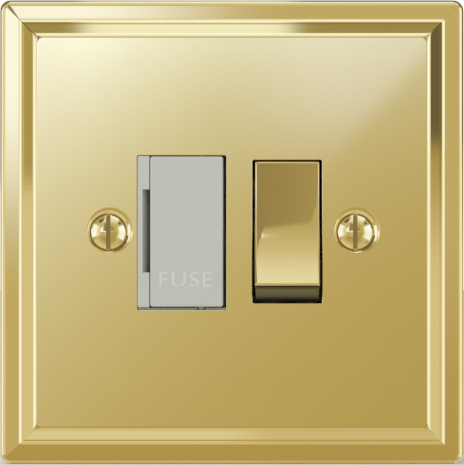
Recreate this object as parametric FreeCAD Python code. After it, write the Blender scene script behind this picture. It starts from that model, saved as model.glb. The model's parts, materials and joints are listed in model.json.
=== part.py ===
import FreeCAD, Part
import os
from math import acos, asin, cos, degrees, radians, sin, sqrt, tan

# A one-gang switched fuse spur: a stepped brass face plate with a fuse carrier on the left
# and a rocker switch on the right, and the switch, fuse and terminal housing behind it.
# Sizes are in millimetres and degrees.
# Everything is drawn lying on its back: X right and Y up on the face, Z out towards the user,
# with the wall plane at Z = 0. stand_up() then turns each piece upright, facing -Y.

# Face plate, pressed from sheet and stepped up towards its centre
plate_size = 95.6
plate_corner = 1.9
sheet = 0.9
edge_height = 2.6
edge_round = 0.7
rim_width = 3.5
rim_slope = 8.0
foot_radius = 2.15
step_slope = 40.0
shoulder_radius = 1.6
field_inset = 7.5
foot_corner = 0.5
field_corner = 1.1

# Openings in the plate
opening_corner = 0.4
fuse_opening_width = 18.35
fuse_end_room = 3.2
fuse_opening_x = -10.33
fuse_opening_y = -0.15
opening_gap = 5.405
rocker_opening_width = 14.3
rocker_opening_height = 29.5
rocker_opening_y = 0.1

# Fixing screws, raised countersunk, in pressed dishes
fixing_spacing = 50.8
head_radius = 3.65
head_dome = 0.85
head_sink = 0.45
slot_width = 0.9
slot_depth = 1.3
neck_radius = 1.4
thread_radius = 1.75
thread_start = 0.6
thread_length = 20.0
dish_radius = 4.55
dish_gap = 0.1
screw_clearance = 0.2

# Moulded housing: a front moulding and a rear base, screwed together from behind
chamber_end_room = 2.7
body_corner = 2.0
wall = 1.6
floor = 2.4
rib = 1.1
split_depth = 2.6
lug_thickness = 1.4
lug_radius = 4.4
housing_screw_radius = 1.2
housing_head_radius = 2.5
housing_head_height = 1.6
boss_radius = 3.3
thread_bite = 5.0
base_chamfer = 0.8
piece_fit = 0.1

# Fuse carrier: a flap hinged near its right edge, pulled open at a finger notch on its left
strip_width = 2.45
strip_proud = 0.1
notch_width = 1.4
notch_height = 17.1
notch_rise = 0.15
notch_depth = 3.2
notch_lip = 0.4
flap_gap_left = 0.15
flap_gap_right = 0.6
flap_gap_top = 0.2
flap_gap_bottom = 0.65
flap_corner = 0.55
flap_thickness = 2.0
flap_proud = 0.25
flap_edge_round = 0.35
hinge_inset = 4.5
hinge_pin_radius = 0.8
pin_fit = 0.05
pin_seat = 1.3
bay_gap = 0.2
bay_depth = 8.4
bay_floor = 1.5
cheek = 1.2
cheek_drop = 3.4

# Cartridge fuse, one inch long
fuse_length = 25.4
fuse_radius = 3.175
fuse_cap_length = 6.0
fuse_cap_wall = 0.3
fuse_offset = 0.7
cradle_wall = 1.1
cradle_gap = 0.7
cradle_wrap = 1.3

# Rocker: a brass cap on a moulded body, swinging on side pins
rocker_side_opening = 0.5
rocker_end_opening = 1.97
rocker_reach = 10.19
rocker_dip = 0.85
rocker_tilt = 9.6
pivot_depth = 8.4
skirt_end_angle = 17.0
cap_sheet = 0.6
cap_rim = 1.0
skirt_relief = 0.15
rocker_edge_round = 0.4
rocker_pin_radius = 1.2
rocker_side_gap = 0.5
keel_half_top = 11.5
keel_half_bottom = 4.2
keel_drop = 2.4
well_gap = 0.35

# Sprung plungers in the rocker, one for each pole
pole_offset = 3.6
plunger_reach = 8.0
plunger_radius = 1.15
plunger_length = 4.2
post_radius = 2.05
post_end = 6.0
bore_fit = 0.1
spring_radius = 0.8
spring_wire = 0.22
spring_turns = 5.0
spring_length = 5.4

# Rocking contact bars and their contacts
bar_width = 3.6
bar_thickness = 1.0
bar_arm = 9.0
bar_tail = 7.5
bar_tilt = 6.0
bar_gap = 0.08
bar_pin_radius = 0.6
tip_radius = 1.3
moving_tip_height = 0.6
fixed_tip_height = 0.8
contact_gap = 0.05
ear_gap = 0.15
ear_length = 3.0
strap = 0.8
bar_end = 0.5

# Terminals, their screws and the straps that join them
terminal_width = 6.2
terminal_length = 6.0
terminal_height = 6.2
block_chamfer = 0.5
terminal_pitch = 7.4
terminal_offset = 1.7
wire_radius = 1.7
wire_depth = 2.3
entry_flare = 0.5
terminal_screw_radius = 1.6
terminal_head_radius = 2.3
terminal_head_height = 1.3
terminal_screw_out = 0.8
leaf_width = 5.0
leaf_gap = 0.25
leaf_half = 5.0
leaf_slope = 27.0
leaf_bend = 1.6
link_width = 4.2
earth_strap_width = 3.4


# Heights and places worked out from the sizes above

foot_turn = foot_radius * (sin(radians(step_slope)) - sin(radians(rim_slope)))
foot_rise = foot_radius * (cos(radians(rim_slope)) - cos(radians(step_slope)))
shoulder_turn = shoulder_radius * sin(radians(step_slope))
shoulder_rise = shoulder_radius * (1 - cos(radians(step_slope)))
rim_end = edge_height + (rim_width - edge_round) * tan(radians(rim_slope))
slope_run = field_inset - rim_width - foot_turn - shoulder_turn
field_top = rim_end + foot_rise + slope_run * tan(radians(step_slope)) + shoulder_rise
field_back = field_top - sheet

fuse_opening_height = fuse_length + 2 * fuse_end_room
opening_left = fuse_opening_x - fuse_opening_width / 2
opening_right = fuse_opening_x + fuse_opening_width / 2
opening_top = fuse_opening_y + fuse_opening_height / 2
opening_bottom = fuse_opening_y - fuse_opening_height / 2

rocker_opening_x = opening_right + opening_gap + rocker_opening_width / 2
rocker_width = rocker_opening_width - 2 * rocker_side_opening
rocker_half_length = rocker_opening_height / 2 - rocker_end_opening
pivot_z = field_top - pivot_depth
split_z = pivot_z - split_depth
skirt_radius = sqrt(rocker_half_length ** 2 + rocker_reach ** 2)
bar_axis_z = pivot_z - plunger_reach - bar_gap - bar_thickness / 2
tip_low_z = bar_axis_z - bar_arm * sin(radians(bar_tilt))
tip_low_z -= (bar_thickness / 2 + moving_tip_height) * cos(radians(bar_tilt))
strap_top = tip_low_z - contact_gap - fixed_tip_height
floor_z = strap_top - strap
rear_z = floor_z - floor
spring_end_z = pivot_z - plunger_reach + plunger_length + spring_length
live_x = rocker_opening_x - pole_offset
neutral_x = rocker_opening_x + pole_offset

strip_left = opening_left + piece_fit
strip_right = strip_left + strip_width
flap_left = strip_right + flap_gap_left
flap_right = opening_right - flap_gap_right
flap_top = opening_top - flap_gap_top
flap_bottom = opening_bottom + flap_gap_bottom
flap_x = (flap_left + flap_right) / 2
flap_y = (flap_top + flap_bottom) / 2
flap_front = field_top + flap_proud
flap_back = flap_front - flap_thickness
hinge_x = flap_right - hinge_inset
hinge_z = field_back - hinge_pin_radius - piece_fit
bay_right = opening_right + bay_gap
bay_top = opening_top + bay_gap
bay_bottom = flap_bottom - bay_gap
bay_z = field_back - bay_depth
fuse_x = flap_x - fuse_offset
fuse_z = flap_back - bay_gap - fuse_radius
contact_y = fuse_length / 2 - fuse_cap_length / 2
cradle_length = fuse_length - 2 * (fuse_cap_length + cradle_gap)

chamber_half = fuse_length / 2 + chamber_end_room
terminal_y = chamber_half + piece_fit + terminal_length / 2
body_height = 2 * (terminal_y + terminal_length / 2 + piece_fit + wall)
terminal_top = floor_z + terminal_height
wire_z = terminal_top - wire_depth
supply_neutral_x = neutral_x + terminal_offset
supply_live_x = supply_neutral_x - terminal_pitch
earth_x = supply_live_x - terminal_pitch
load_live_x = fuse_x - leaf_half
terminal_reach = supply_neutral_x + terminal_width / 2 + piece_fit
body_width = 2 * (max(terminal_reach, -opening_left) + wall)
partition_x = (bay_right + rocker_opening_x - rocker_width / 2 - rocker_side_gap) / 2
yoke_half = bar_width / 2 + ear_gap + strap
link_right = live_x - yoke_half - rib - 2 * piece_fit
contact_line_y = rocker_opening_y + bar_arm
fixing_places = {"left": -fixing_spacing / 2, "right": fixing_spacing / 2}
terminal_places = {
    "supply_live": (supply_live_x, -terminal_y),
    "supply_neutral": (supply_neutral_x, -terminal_y),
    "supply_earth": (earth_x, -terminal_y),
    "load_live": (load_live_x, terminal_y),
    "load_neutral": (supply_neutral_x, terminal_y),
    "load_earth": (earth_x, terminal_y),
}
housing_screw_places = {
    "top_left": ((load_live_x + earth_x) / 2, terminal_y),
    "top_right": ((earth_x + supply_neutral_x) / 2, terminal_y),
    "bottom_left": ((load_live_x + earth_x) / 2, -terminal_y),
}


def vec(x, y, z):
    return FreeCAD.Vector(x, y, z)


def box(x0, x1, y0, y1, z0, z1):
    return Part.makeBox(x1 - x0, y1 - y0, z1 - z0, vec(x0, y0, z0))


def rod(radius, x, y, z0, z1):
    """A round bar along Z."""
    return Part.makeCylinder(radius, z1 - z0, vec(x, y, z0))


def rod_x(radius, x0, x1, y, z):
    return Part.makeCylinder(radius, x1 - x0, vec(x0, y, z), vec(1, 0, 0))


def rod_y(radius, x, y0, y1, z):
    return Part.makeCylinder(radius, y1 - y0, vec(x, y0, z), vec(0, 1, 0))


def rounded_outline(width, height, corner, x, y, z):
    """A rectangle with round corners, level at height z."""
    arcs = []
    for start, side_x, side_y in ((0, 1, 1), (90, -1, 1), (180, -1, -1), (270, 1, -1)):
        centre = vec(x + side_x * (width / 2 - corner), y + side_y * (height / 2 - corner), z)
        arcs.append(Part.makeCircle(corner, centre, vec(0, 0, 1), start, start + 90))
    edges = []
    for arc, following in zip(arcs, arcs[1:] + arcs[:1]):
        edges.append(arc)
        end = arc.valueAt(arc.LastParameter)
        edges.append(Part.makeLine(end, following.valueAt(following.FirstParameter)))
    return Part.Wire(edges)


def slab(width, height, corner, x, y, z0, z1):
    """A plate with round corners between two heights."""
    return Part.Face(rounded_outline(width, height, corner, x, y, z0)).extrude(vec(0, 0, z1 - z0))


def turned(profile, x, y):
    """A solid turned about a line along Z from (radius, height) points."""
    points = [vec(radius, 0, height) for radius, height in profile]
    face = Part.Face(Part.makePolygon(points + points[:1]))
    solid = face.revolve(vec(0, 0, 0), vec(0, 0, 1), 360)
    solid.translate(vec(x, y, 0))
    return solid


def joined(shapes):
    whole = shapes[0].multiFuse(shapes[1:]) if len(shapes) > 1 else shapes[0]
    return whole.removeSplitter()


def edges_where(shape, test):
    return [edge for edge in shape.Edges if test(edge)]


def level_at(edge, height):
    bounds = edge.BoundBox
    return abs(bounds.ZMin - height) < 0.001 and abs(bounds.ZMax - height) < 0.001


def strip_side(points, bend, thickness, side, place):
    """One long side of a bent strip, as lines and arcs from its first end to its last."""
    edges = []
    here = None
    for index in range(len(points) - 1):
        ahead = (points[index + 1] - points[index]).normalize()
        normal = vec(-ahead.y, ahead.x, 0)
        start = points[index] + normal * (side * thickness / 2)
        if index > 0:
            behind = (points[index] - points[index - 1]).normalize()
            turn = 1 if behind.cross(ahead).z > 0 else -1
            angle = acos(behind.dot(ahead))
            old_normal = vec(-behind.y, behind.x, 0)
            centre = points[index] - behind * (bend * tan(angle / 2)) + old_normal * (turn * bend)
            radius = bend - side * turn * thickness / 2
            first = centre - old_normal * (turn * radius)
            middle = centre - (old_normal + normal).normalize() * (turn * radius)
            start = centre - normal * (turn * radius)
            edges.append(Part.makeLine(place(here), place(first)))
            edges.append(Part.Arc(place(first), place(middle), place(start)).toShape())
        here = start
    last = points[-1] + normal * (side * thickness / 2)
    edges.append(Part.makeLine(place(here), place(last)))
    return edges, last


def bent_strip(middle_line, bend, thickness, place, width):
    """A flat strip bent along a line, given by its mid-thickness points, and as wide as the vector."""
    points = [vec(across, up, 0) for across, up in middle_line]
    left, left_end = strip_side(points, bend, thickness, 1, place)
    right, right_end = strip_side(points, bend, thickness, -1, place)
    left_start = left[0].valueAt(left[0].FirstParameter)
    right_start = right[0].valueAt(right[0].FirstParameter)
    ends = [Part.makeLine(place(left_end), place(right_end)), Part.makeLine(left_start, right_start)]
    outline = Part.Wire(Part.__sortEdges__(left + right + ends))
    return Part.Face(outline).extrude(width)


def dish_profile():
    """The pressed dish under a fixing screw, as (radius, height) points from its lip inwards."""
    seat_radius = head_radius + dish_gap
    seat_z = field_top - head_sink
    hole_radius = thread_radius + screw_clearance
    hole_z = seat_z - (seat_radius - hole_radius)
    return [(dish_radius, field_top), (seat_radius, seat_z), (hole_radius, hole_z)]


def plate_front():
    """The outside of the plate: its edge, sloping rim, concave foot, slope and round shoulder."""
    sections = [(0, 0, plate_corner), (0, edge_height - edge_round, plate_corner)]
    for share in (1 / 3, 2 / 3, 1):
        angle = radians(share * (90 - rim_slope))
        inset = edge_round * (1 - cos(angle))
        sections.append((inset, edge_height - edge_round * (1 - sin(angle)), plate_corner - inset / 2))
    sections.append((rim_width, rim_end, foot_corner))
    for share in (1 / 3, 2 / 3, 1):
        angle = radians(rim_slope + share * (step_slope - rim_slope))
        inset = rim_width + foot_radius * (sin(angle) - sin(radians(rim_slope)))
        sections.append((inset, rim_end + foot_radius * (cos(radians(rim_slope)) - cos(angle)), foot_corner))
    for share in (1, 2 / 3, 1 / 3, 0):
        angle = radians(share * step_slope)
        inset = field_inset - shoulder_radius * sin(angle)
        sections.append((inset, field_top - shoulder_radius * (1 - cos(angle)), field_corner))
    return stacked(sections)


def stacked(sections):
    """A solid through level rounded squares, each set in from the plate's outline."""
    wires = []
    for inset, height, corner in sections:
        side = plate_size - 2 * inset
        wires.append(rounded_outline(side, side, corner, 0, 0, height))
    return Part.makeLoft(wires, True, True)


def plate_hollow():
    """The space behind the plate, one sheet thickness under its front."""
    rim_tan = tan(radians(rim_slope))
    step_tan = tan(radians(step_slope))
    rim_back = edge_height - sheet / cos(radians(rim_slope)) + (sheet - edge_round) * rim_tan
    step_back = field_top - sheet / cos(radians(step_slope))
    shoulder_mid = field_inset - shoulder_radius * tan(radians(step_slope / 2))
    meet = (rim_back - step_back - sheet * rim_tan + shoulder_mid * step_tan) / (step_tan - rim_tan)
    top_inset = shoulder_mid + (field_back - step_back) / step_tan
    return stacked([
        (sheet, 0, plate_corner - sheet),
        (sheet, rim_back, plate_corner - sheet),
        (meet, rim_back + (meet - sheet) * rim_tan, foot_corner),
        (top_inset, field_back, field_corner - shoulder_radius / 2),
    ])


def screw_dish(x):
    """The dimple in the sheet behind a fixing screw, and the space in front of it."""
    lip, seat, hole = dish_profile()
    slant = sheet * sqrt(2)
    bottom = hole[1] - slant
    dimple = turned([
        (0, field_back + sheet / 2),
        (lip[0] + sheet, field_back + sheet / 2),
        (lip[0] + sheet, field_back),
        (seat[0] + sheet, seat[1] - slant + sheet),
        (hole[0], bottom),
        (0, bottom),
    ], x, 0)
    above = field_top + sheet
    below = bottom - sheet
    space = turned([(0, above), (lip[0], above), lip, seat, hole, (hole[0], below), (0, below)], x, 0)
    return dimple, space


def face_plate():
    plate = plate_front().cut(plate_hollow())
    for x in fixing_places.values():
        dimple, space = screw_dish(x)
        plate = plate.fuse(dimple).cut(space)
    openings = [
        (fuse_opening_width, fuse_opening_height, fuse_opening_x, fuse_opening_y),
        (rocker_opening_width, rocker_opening_height, rocker_opening_x, rocker_opening_y),
    ]
    for width, height, x, y in openings:
        plate = plate.cut(slab(width, height, opening_corner, x, y, field_back - sheet, field_top + sheet))
    return plate


def fixing_screw(x):
    """Raised countersunk screw with a straight slot."""
    rim_z = field_top - head_sink
    crown = (head_radius ** 2 + head_dome ** 2) / (2 * head_dome)
    ball = Part.makeSphere(crown, vec(x, 0, rim_z + head_dome - crown))
    dome = ball.common(rod(head_radius, x, 0, rim_z, rim_z + head_dome))
    neck_z = rim_z - head_radius + neck_radius
    cone = Part.makeCone(neck_radius, head_radius, rim_z - neck_z, vec(x, 0, neck_z))
    neck = rod(neck_radius, x, 0, -thread_start, neck_z)
    thread = rod(thread_radius, x, 0, -thread_start - thread_length, -thread_start)
    screw = joined([dome, cone, neck, thread])
    crown_z = rim_z + head_dome
    half = slot_width / 2
    return screw.cut(box(x - half, x + half, -head_radius, head_radius, crown_z - slot_depth, crown_z))


def housing_block(z0, z1):
    """A length of the housing, relieved where the fixing screws and their dishes pass it."""
    block = slab(body_width, body_height, body_corner, 0, 0, z0, z1)
    for x in fixing_places.values():
        block = block.cut(rod(thread_radius + screw_clearance, x, 0, z0, z1))
        if z1 > 0:
            block = block.cut(rod(dish_radius + sheet + piece_fit, x, 0, lug_thickness, z1))
    return block


def fixing_lug(side, x):
    """The ear of the front moulding that a fixing screw clamps behind the plate."""
    root = side * (body_width / 2 - wall)
    arm = box(min(root, x), max(root, x), -lug_radius, lug_radius, 0, lug_thickness)
    return arm.fuse(rod(lug_radius, x, 0, 0, lug_thickness))


def fuse_bay():
    """The space that the fuse carrier swings in, with windows in its floor for the fuse contacts."""
    bay = box(strip_right, bay_right, bay_bottom, bay_top, bay_z, field_back)
    shapes = [bay]
    for y in (contact_y, -contact_y):
        window_y = flap_y + y
        shapes.append(box(
            fuse_x - leaf_half - wall, fuse_x + leaf_half,
            window_y - leaf_width / 2 - bay_gap, window_y + leaf_width / 2 + bay_gap, split_z, bay_z))
    return joined(shapes)


def carrier_pin_seats():
    """U-shaped seats for the carrier's pins, open to the front and closed by the plate."""
    radius = hinge_pin_radius + pin_fit
    y0 = bay_bottom - pin_seat
    y1 = bay_top + pin_seat
    round_end = rod_y(radius, hinge_x, y0, y1, hinge_z)
    return round_end.fuse(box(hinge_x - radius, hinge_x + radius, y0, y1, hinge_z, field_back))


def rocker_well():
    """The space that the rocker swings in, with a hole each side for its pins."""
    half_x = rocker_width / 2 + rocker_side_gap
    half_y = skirt_radius + well_gap
    well = box(
        rocker_opening_x - half_x, rocker_opening_x + half_x,
        rocker_opening_y - half_y, rocker_opening_y + half_y, split_z, field_back)
    x0 = rocker_opening_x - half_x - pin_seat
    x1 = rocker_opening_x + half_x + pin_seat
    return well.fuse(rod_x(rocker_pin_radius + pin_fit, x0, x1, rocker_opening_y, pivot_z))


def side_strip():
    """The part of the moulding that shows beside the flap, flush with the plate."""
    strip = box(strip_left, strip_right, flap_bottom, opening_top - piece_fit, bay_z, field_top + strip_proud)
    middle = (strip_left + strip_right) / 2
    outer = edges_where(strip, lambda e: e.BoundBox.XMax < middle and e.BoundBox.YLength < piece_fit)
    return strip.makeFillet(opening_corner, outer)


def finger_notch():
    """The sloping recess in the strip beside the flap, where a finger or blade pulls it open."""
    top = field_top + strip_proud
    y0 = flap_y + notch_rise - notch_height / 2
    corners = [
        vec(strip_right - notch_width, y0, top),
        vec(strip_right - notch_width, y0, top - notch_lip),
        vec(strip_right, y0, top - notch_depth),
        vec(strip_right, y0, top),
    ]
    return Part.Face(Part.makePolygon(corners + corners[:1])).extrude(vec(0, notch_height, 0))


def front_moulding():
    block = housing_block(split_z, field_back)
    lugs = [fixing_lug(-1 if x < 0 else 1, x) for x in fixing_places.values()]
    moulding = joined([block] + lugs)
    moulding = moulding.cut(fuse_bay()).fuse(side_strip()).cut(finger_notch())
    moulding = moulding.cut(carrier_pin_seats()).cut(rocker_well())
    for x in fixing_places.values():
        moulding = moulding.cut(rod(thread_radius + screw_clearance, x, 0, 0, lug_thickness))
    for x, y in housing_screw_places.values():
        moulding = moulding.cut(rod(housing_screw_radius + pin_fit, x, y, split_z, split_z + thread_bite))
    return moulding.cut(earth_strap_shape(pin_fit)).removeSplitter()


def terminal_pocket(x, y):
    """The room for a terminal in the base, with its wire entry and the hole for its screwdriver."""
    side = 1 if y > 0 else -1
    half = terminal_width / 2 + piece_fit
    inner = y - side * (terminal_length / 2 + piece_fit)
    outer = y + side * (terminal_length / 2 + piece_fit)
    room = box(x - half, x + half, min(inner, outer), max(inner, outer), floor_z, split_z)
    driver = rod(terminal_head_radius + piece_fit, x, y, rear_z, floor_z)
    entry = Part.makeCone(
        wire_radius + piece_fit, wire_radius + entry_flare, wall, vec(x, outer, wire_z), vec(0, side, 0))
    return joined([room, driver, entry])


def contact_chamber():
    """The open middle of the base, between the two rows of terminals."""
    half_x = body_width / 2 - wall
    return box(-half_x, half_x, -chamber_half, chamber_half, floor_z, split_z)


def pole_partitions():
    """Ribs that keep the live and neutral parts of the switch apart."""
    rib_top = bar_axis_z + plunger_reach / 3
    beside_x = link_right + piece_fit + rib / 2
    ribs = []
    for x, end in ((rocker_opening_x, chamber_half), (beside_x, contact_line_y - link_width)):
        ribs.append(box(x - rib / 2, x + rib / 2, -chamber_half, end, floor_z, rib_top))
    return ribs


def rear_base():
    base = housing_block(rear_z, split_z)
    base = base.makeChamfer(base_chamfer, edges_where(base, lambda e: level_at(e, rear_z)))
    base = base.cut(contact_chamber())
    for x, y in terminal_places.values():
        base = base.cut(terminal_pocket(x, y))
    base = joined([base] + pole_partitions())
    head_room = housing_head_height + piece_fit
    for x, y in housing_screw_places.values():
        base = base.cut(rod(housing_screw_radius + piece_fit, x, y, rear_z, split_z))
        base = base.cut(rod(housing_head_radius + piece_fit, x, y, rear_z, rear_z + head_room))
    return base.removeSplitter()


def housing_screw(x, y):
    """Pan-head screw from the back of the base into the front moulding."""
    head_z = rear_z + piece_fit + housing_head_height
    outer_z = head_z - housing_head_height
    head = rod(housing_head_radius, x, y, outer_z, head_z)
    head = head.makeFillet(housing_head_height / 3, edges_where(head, lambda e: level_at(e, outer_z)))
    shank = rod(housing_screw_radius, x, y, head_z, split_z + thread_bite - piece_fit)
    slot = box(
        x - housing_head_radius, x + housing_head_radius, y - slot_width / 2, y + slot_width / 2,
        rear_z, rear_z + housing_head_height / 2)
    return joined([head, shank]).cut(slot)


def terminal_block(x, y):
    """A brass pillar with a bore for the wire and a tapped hole from behind."""
    half_x = terminal_width / 2
    half_y = terminal_length / 2
    block = box(x - half_x, x + half_x, y - half_y, y + half_y, floor_z, terminal_top)
    block = block.makeChamfer(block_chamfer, edges_where(block, lambda e: level_at(e, terminal_top)))
    block = block.cut(rod_y(wire_radius, x, y - half_y, y + half_y, wire_z))
    return block.cut(rod(terminal_screw_radius + pin_fit, x, y, floor_z, wire_z))


def terminal_screw(x, y):
    """Clamping screw, backed out so that the wire bore is clear."""
    tip = wire_z - wire_radius - piece_fit
    head_top = floor_z - terminal_screw_out
    head = rod(terminal_head_radius, x, y, head_top - terminal_head_height, head_top)
    shank = rod(terminal_screw_radius, x, y, head_top, tip)
    slot = box(
        x - terminal_head_radius, x + terminal_head_radius, y - slot_width / 2, y + slot_width / 2,
        head_top - terminal_head_height, head_top - terminal_head_height / 2)
    return joined([head, shank]).cut(slot)


def yoke(x):
    """Two ears with notches that a contact bar rocks in."""
    inner = bar_width / 2 + ear_gap
    y = rocker_opening_y
    half = ear_length / 2
    ears = []
    for x0 in (x - inner - strap, x + inner):
        ears.append(box(x0, x0 + strap, y - half, y + half, floor_z, bar_axis_z + bar_pin_radius))
    radius = bar_pin_radius + pin_fit
    notch = rod_x(radius, x - bar_width, x + bar_width, y, bar_axis_z)
    mouth = box(x - bar_width, x + bar_width, y - radius, y + radius, bar_axis_z, bar_axis_z + radius)
    return joined(ears).cut(notch).cut(mouth)


def tongue(x0, x1, y_end, terminal_x, terminal_side):
    """A flat tongue on the floor that narrows to a neck where it leaves its terminal's pocket."""
    block_y = terminal_side * (terminal_y - terminal_length / 2)
    neck_y = block_y - terminal_side * (link_width / 4)
    wide = box(x0, x1, min(y_end, neck_y), max(y_end, neck_y), floor_z, strap_top)
    neck = box(
        max(x0, terminal_x - terminal_width / 2), min(x1, terminal_x + terminal_width / 2),
        min(block_y, neck_y), max(block_y, neck_y), floor_z, strap_top)
    return wide.fuse(neck)


def supply_terminal(terminal_x, bar_x):
    """A supply terminal whose tongue carries the yoke of its contact bar."""
    end_y = rocker_opening_y + ear_length / 2
    foot = tongue(bar_x - yoke_half, bar_x + yoke_half, end_y, terminal_x, -1)
    return joined([terminal_block(terminal_x, -terminal_y), foot, yoke(bar_x)])


def load_neutral_terminal():
    """The terminal that the neutral bar closes onto."""
    half = link_width / 2
    foot = tongue(neutral_x - half, neutral_x + half, contact_line_y - half, supply_neutral_x, 1)
    return joined([terminal_block(supply_neutral_x, terminal_y), foot])


def fuse_leaf(y):
    """A spring leaf that rises from the floor and arches under one end cap of the fuse."""
    turn = radians(leaf_slope)
    crest = fuse_z - fuse_radius - leaf_gap - strap / 2 + leaf_bend * (1 / cos(turn) - 1)
    drop = leaf_half * tan(turn)
    mid = floor_z + strap / 2
    line = [
        (fuse_x - leaf_half + 3 * leaf_bend, mid),
        (fuse_x - leaf_half, mid),
        (fuse_x - leaf_half, crest - drop),
        (fuse_x, crest),
        (fuse_x + leaf_half * 0.8, crest - 0.8 * drop),
    ]
    y0 = y - leaf_width / 2
    return bent_strip(line, leaf_bend, strap, lambda p: vec(p.x, y0, p.y), vec(0, leaf_width, 0))


def load_live_terminal():
    """The terminal fed by the upper fuse contact, in one piece with its leaf."""
    y = flap_y + contact_y
    foot_x = fuse_x - leaf_half + 2 * leaf_bend
    foot = tongue(foot_x - link_width / 2, foot_x + link_width / 2, y - leaf_width / 2, load_live_x, 1)
    return joined([terminal_block(load_live_x, terminal_y), foot, fuse_leaf(y)])


def fuse_link():
    """The strap from the live fixed contact, round the partition, to the lower fuse contact."""
    y = flap_y - contact_y
    half = link_width / 2
    left = link_right - link_width
    low = y - leaf_width / 2
    top = contact_line_y + half
    across = box(left, live_x + half, top - link_width, top, floor_z, strap_top)
    down = box(left, link_right, low, top, floor_z, strap_top)
    foot_x = fuse_x - leaf_half + 2 * leaf_bend
    foot = box(foot_x, link_right, low, low + leaf_width, floor_z, strap_top)
    return joined([across, down, foot, fuse_leaf(y)])


def earth_strap_shape(margin):
    """The strap that joins the earth terminals, touching the plate from behind, and a margin round it."""
    middle = field_back - strap / 2
    line = [
        (-terminal_y, terminal_top),
        (-terminal_y, middle),
        (terminal_y, middle),
        (terminal_y, terminal_top),
    ]
    width = earth_strap_width + 2 * margin
    x0 = partition_x - width / 2
    return bent_strip(line, strap, strap + 2 * margin, lambda p: vec(x0, p.x, p.y), vec(width, 0, 0))


def contact_button(x, y, z, height, up):
    """A silver contact: a shallow dome on a short cylinder, facing up (1) or down (-1)."""
    rim = height / 2
    bulge = height - rim
    crown = (tip_radius ** 2 + bulge ** 2) / (2 * bulge)
    face_z = z + up * rim
    low = min(z, z + up * height)
    button = rod(tip_radius, x, y, low, low + height)
    ball = Part.makeSphere(crown, vec(x, y, face_z + up * (bulge - crown)))
    return button.common(ball)


def contact_bar(x):
    """A rocking bar, level, with a pin each side to sit in its yoke."""
    y = rocker_opening_y
    low = bar_axis_z - bar_thickness / 2
    length = bar_arm + tip_radius + bar_end + bar_tail
    bar = slab(
        bar_width, length, bar_width / 4, x, y - bar_tail + length / 2, low, low + bar_thickness)
    left_pin = rod_x(bar_pin_radius, x - yoke_half, x - bar_width / 2, y, bar_axis_z)
    right_pin = rod_x(bar_pin_radius, x + bar_width / 2, x + yoke_half, y, bar_axis_z)
    return joined([bar, left_pin, right_pin])


def moving_tip(x):
    return contact_button(x, contact_line_y, bar_axis_z - bar_thickness / 2, moving_tip_height, -1)


def bar_at_rest(shape):
    """Tips a contact bar and its contact to the open position."""
    shape.rotate(vec(0, rocker_opening_y, bar_axis_z), vec(1, 0, 0), bar_tilt)
    return shape


def rocker_outline(inset, end_angle, x):
    """The rocker's side outline, level: a dished face between two end skirts about the pivot."""
    face_radius = (rocker_half_length ** 2 + rocker_dip ** 2) / (2 * rocker_dip) + inset
    face_centre = rocker_reach - rocker_dip + face_radius - inset
    end_radius = skirt_radius - inset
    lip_z = (end_radius ** 2 - face_radius ** 2 + face_centre ** 2) / (2 * face_centre)
    lip_y = sqrt(end_radius ** 2 - lip_z ** 2)
    end_y = end_radius * cos(radians(end_angle))
    end_z = end_radius * sin(radians(end_angle))
    middle_angle = (acos(lip_y / end_radius) + radians(end_angle)) / 2
    middle_y = end_radius * cos(middle_angle)
    middle_z = end_radius * sin(middle_angle)

    def at(y, z):
        return vec(x, rocker_opening_y + y, pivot_z + z)

    face = Part.Arc(at(-lip_y, lip_z), at(0, face_centre - face_radius), at(lip_y, lip_z)).toShape()
    upper = Part.Arc(at(lip_y, lip_z), at(middle_y, middle_z), at(end_y, end_z)).toShape()
    under = Part.makeLine(at(end_y, end_z), at(-end_y, end_z))
    lower = Part.Arc(at(-end_y, end_z), at(-middle_y, middle_z), at(-lip_y, lip_z)).toShape()
    return Part.Wire([face, upper, under, lower])


def rocker_prism(inset, end_angle):
    half = rocker_width / 2 - inset
    outline = rocker_outline(inset, end_angle, rocker_opening_x - half)
    return Part.Face(outline).extrude(vec(2 * half, 0, 0))


def cap_reach():
    """The space in front of the cap's rim, which runs parallel to the dished face."""
    face_radius = (rocker_half_length ** 2 + rocker_dip ** 2) / (2 * rocker_dip)
    centre_z = pivot_z + rocker_reach - rocker_dip + face_radius
    x0 = rocker_opening_x - rocker_width
    x1 = rocker_opening_x + rocker_width
    return rod_x(face_radius + cap_rim, x0, x1, rocker_opening_y, centre_z)


def rocker_cap():
    """Brass cap pressed over the face of the rocker, with a short rim turned down all round."""
    outside = rocker_prism(0, skirt_end_angle)
    open_z = outside.BoundBox.ZMin
    outside = outside.makeFillet(rocker_edge_round, edges_where(outside, lambda e: not level_at(e, open_z)))
    return outside.common(cap_reach()).cut(rocker_prism(cap_sheet, skirt_end_angle / 2))


def rocker_core(inset):
    """The moulding down to the ends of its skirts, set in all round from the brass."""
    under = skirt_radius * sin(radians(skirt_end_angle))
    return rocker_prism(inset, degrees(asin(under / (skirt_radius - inset))))


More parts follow.
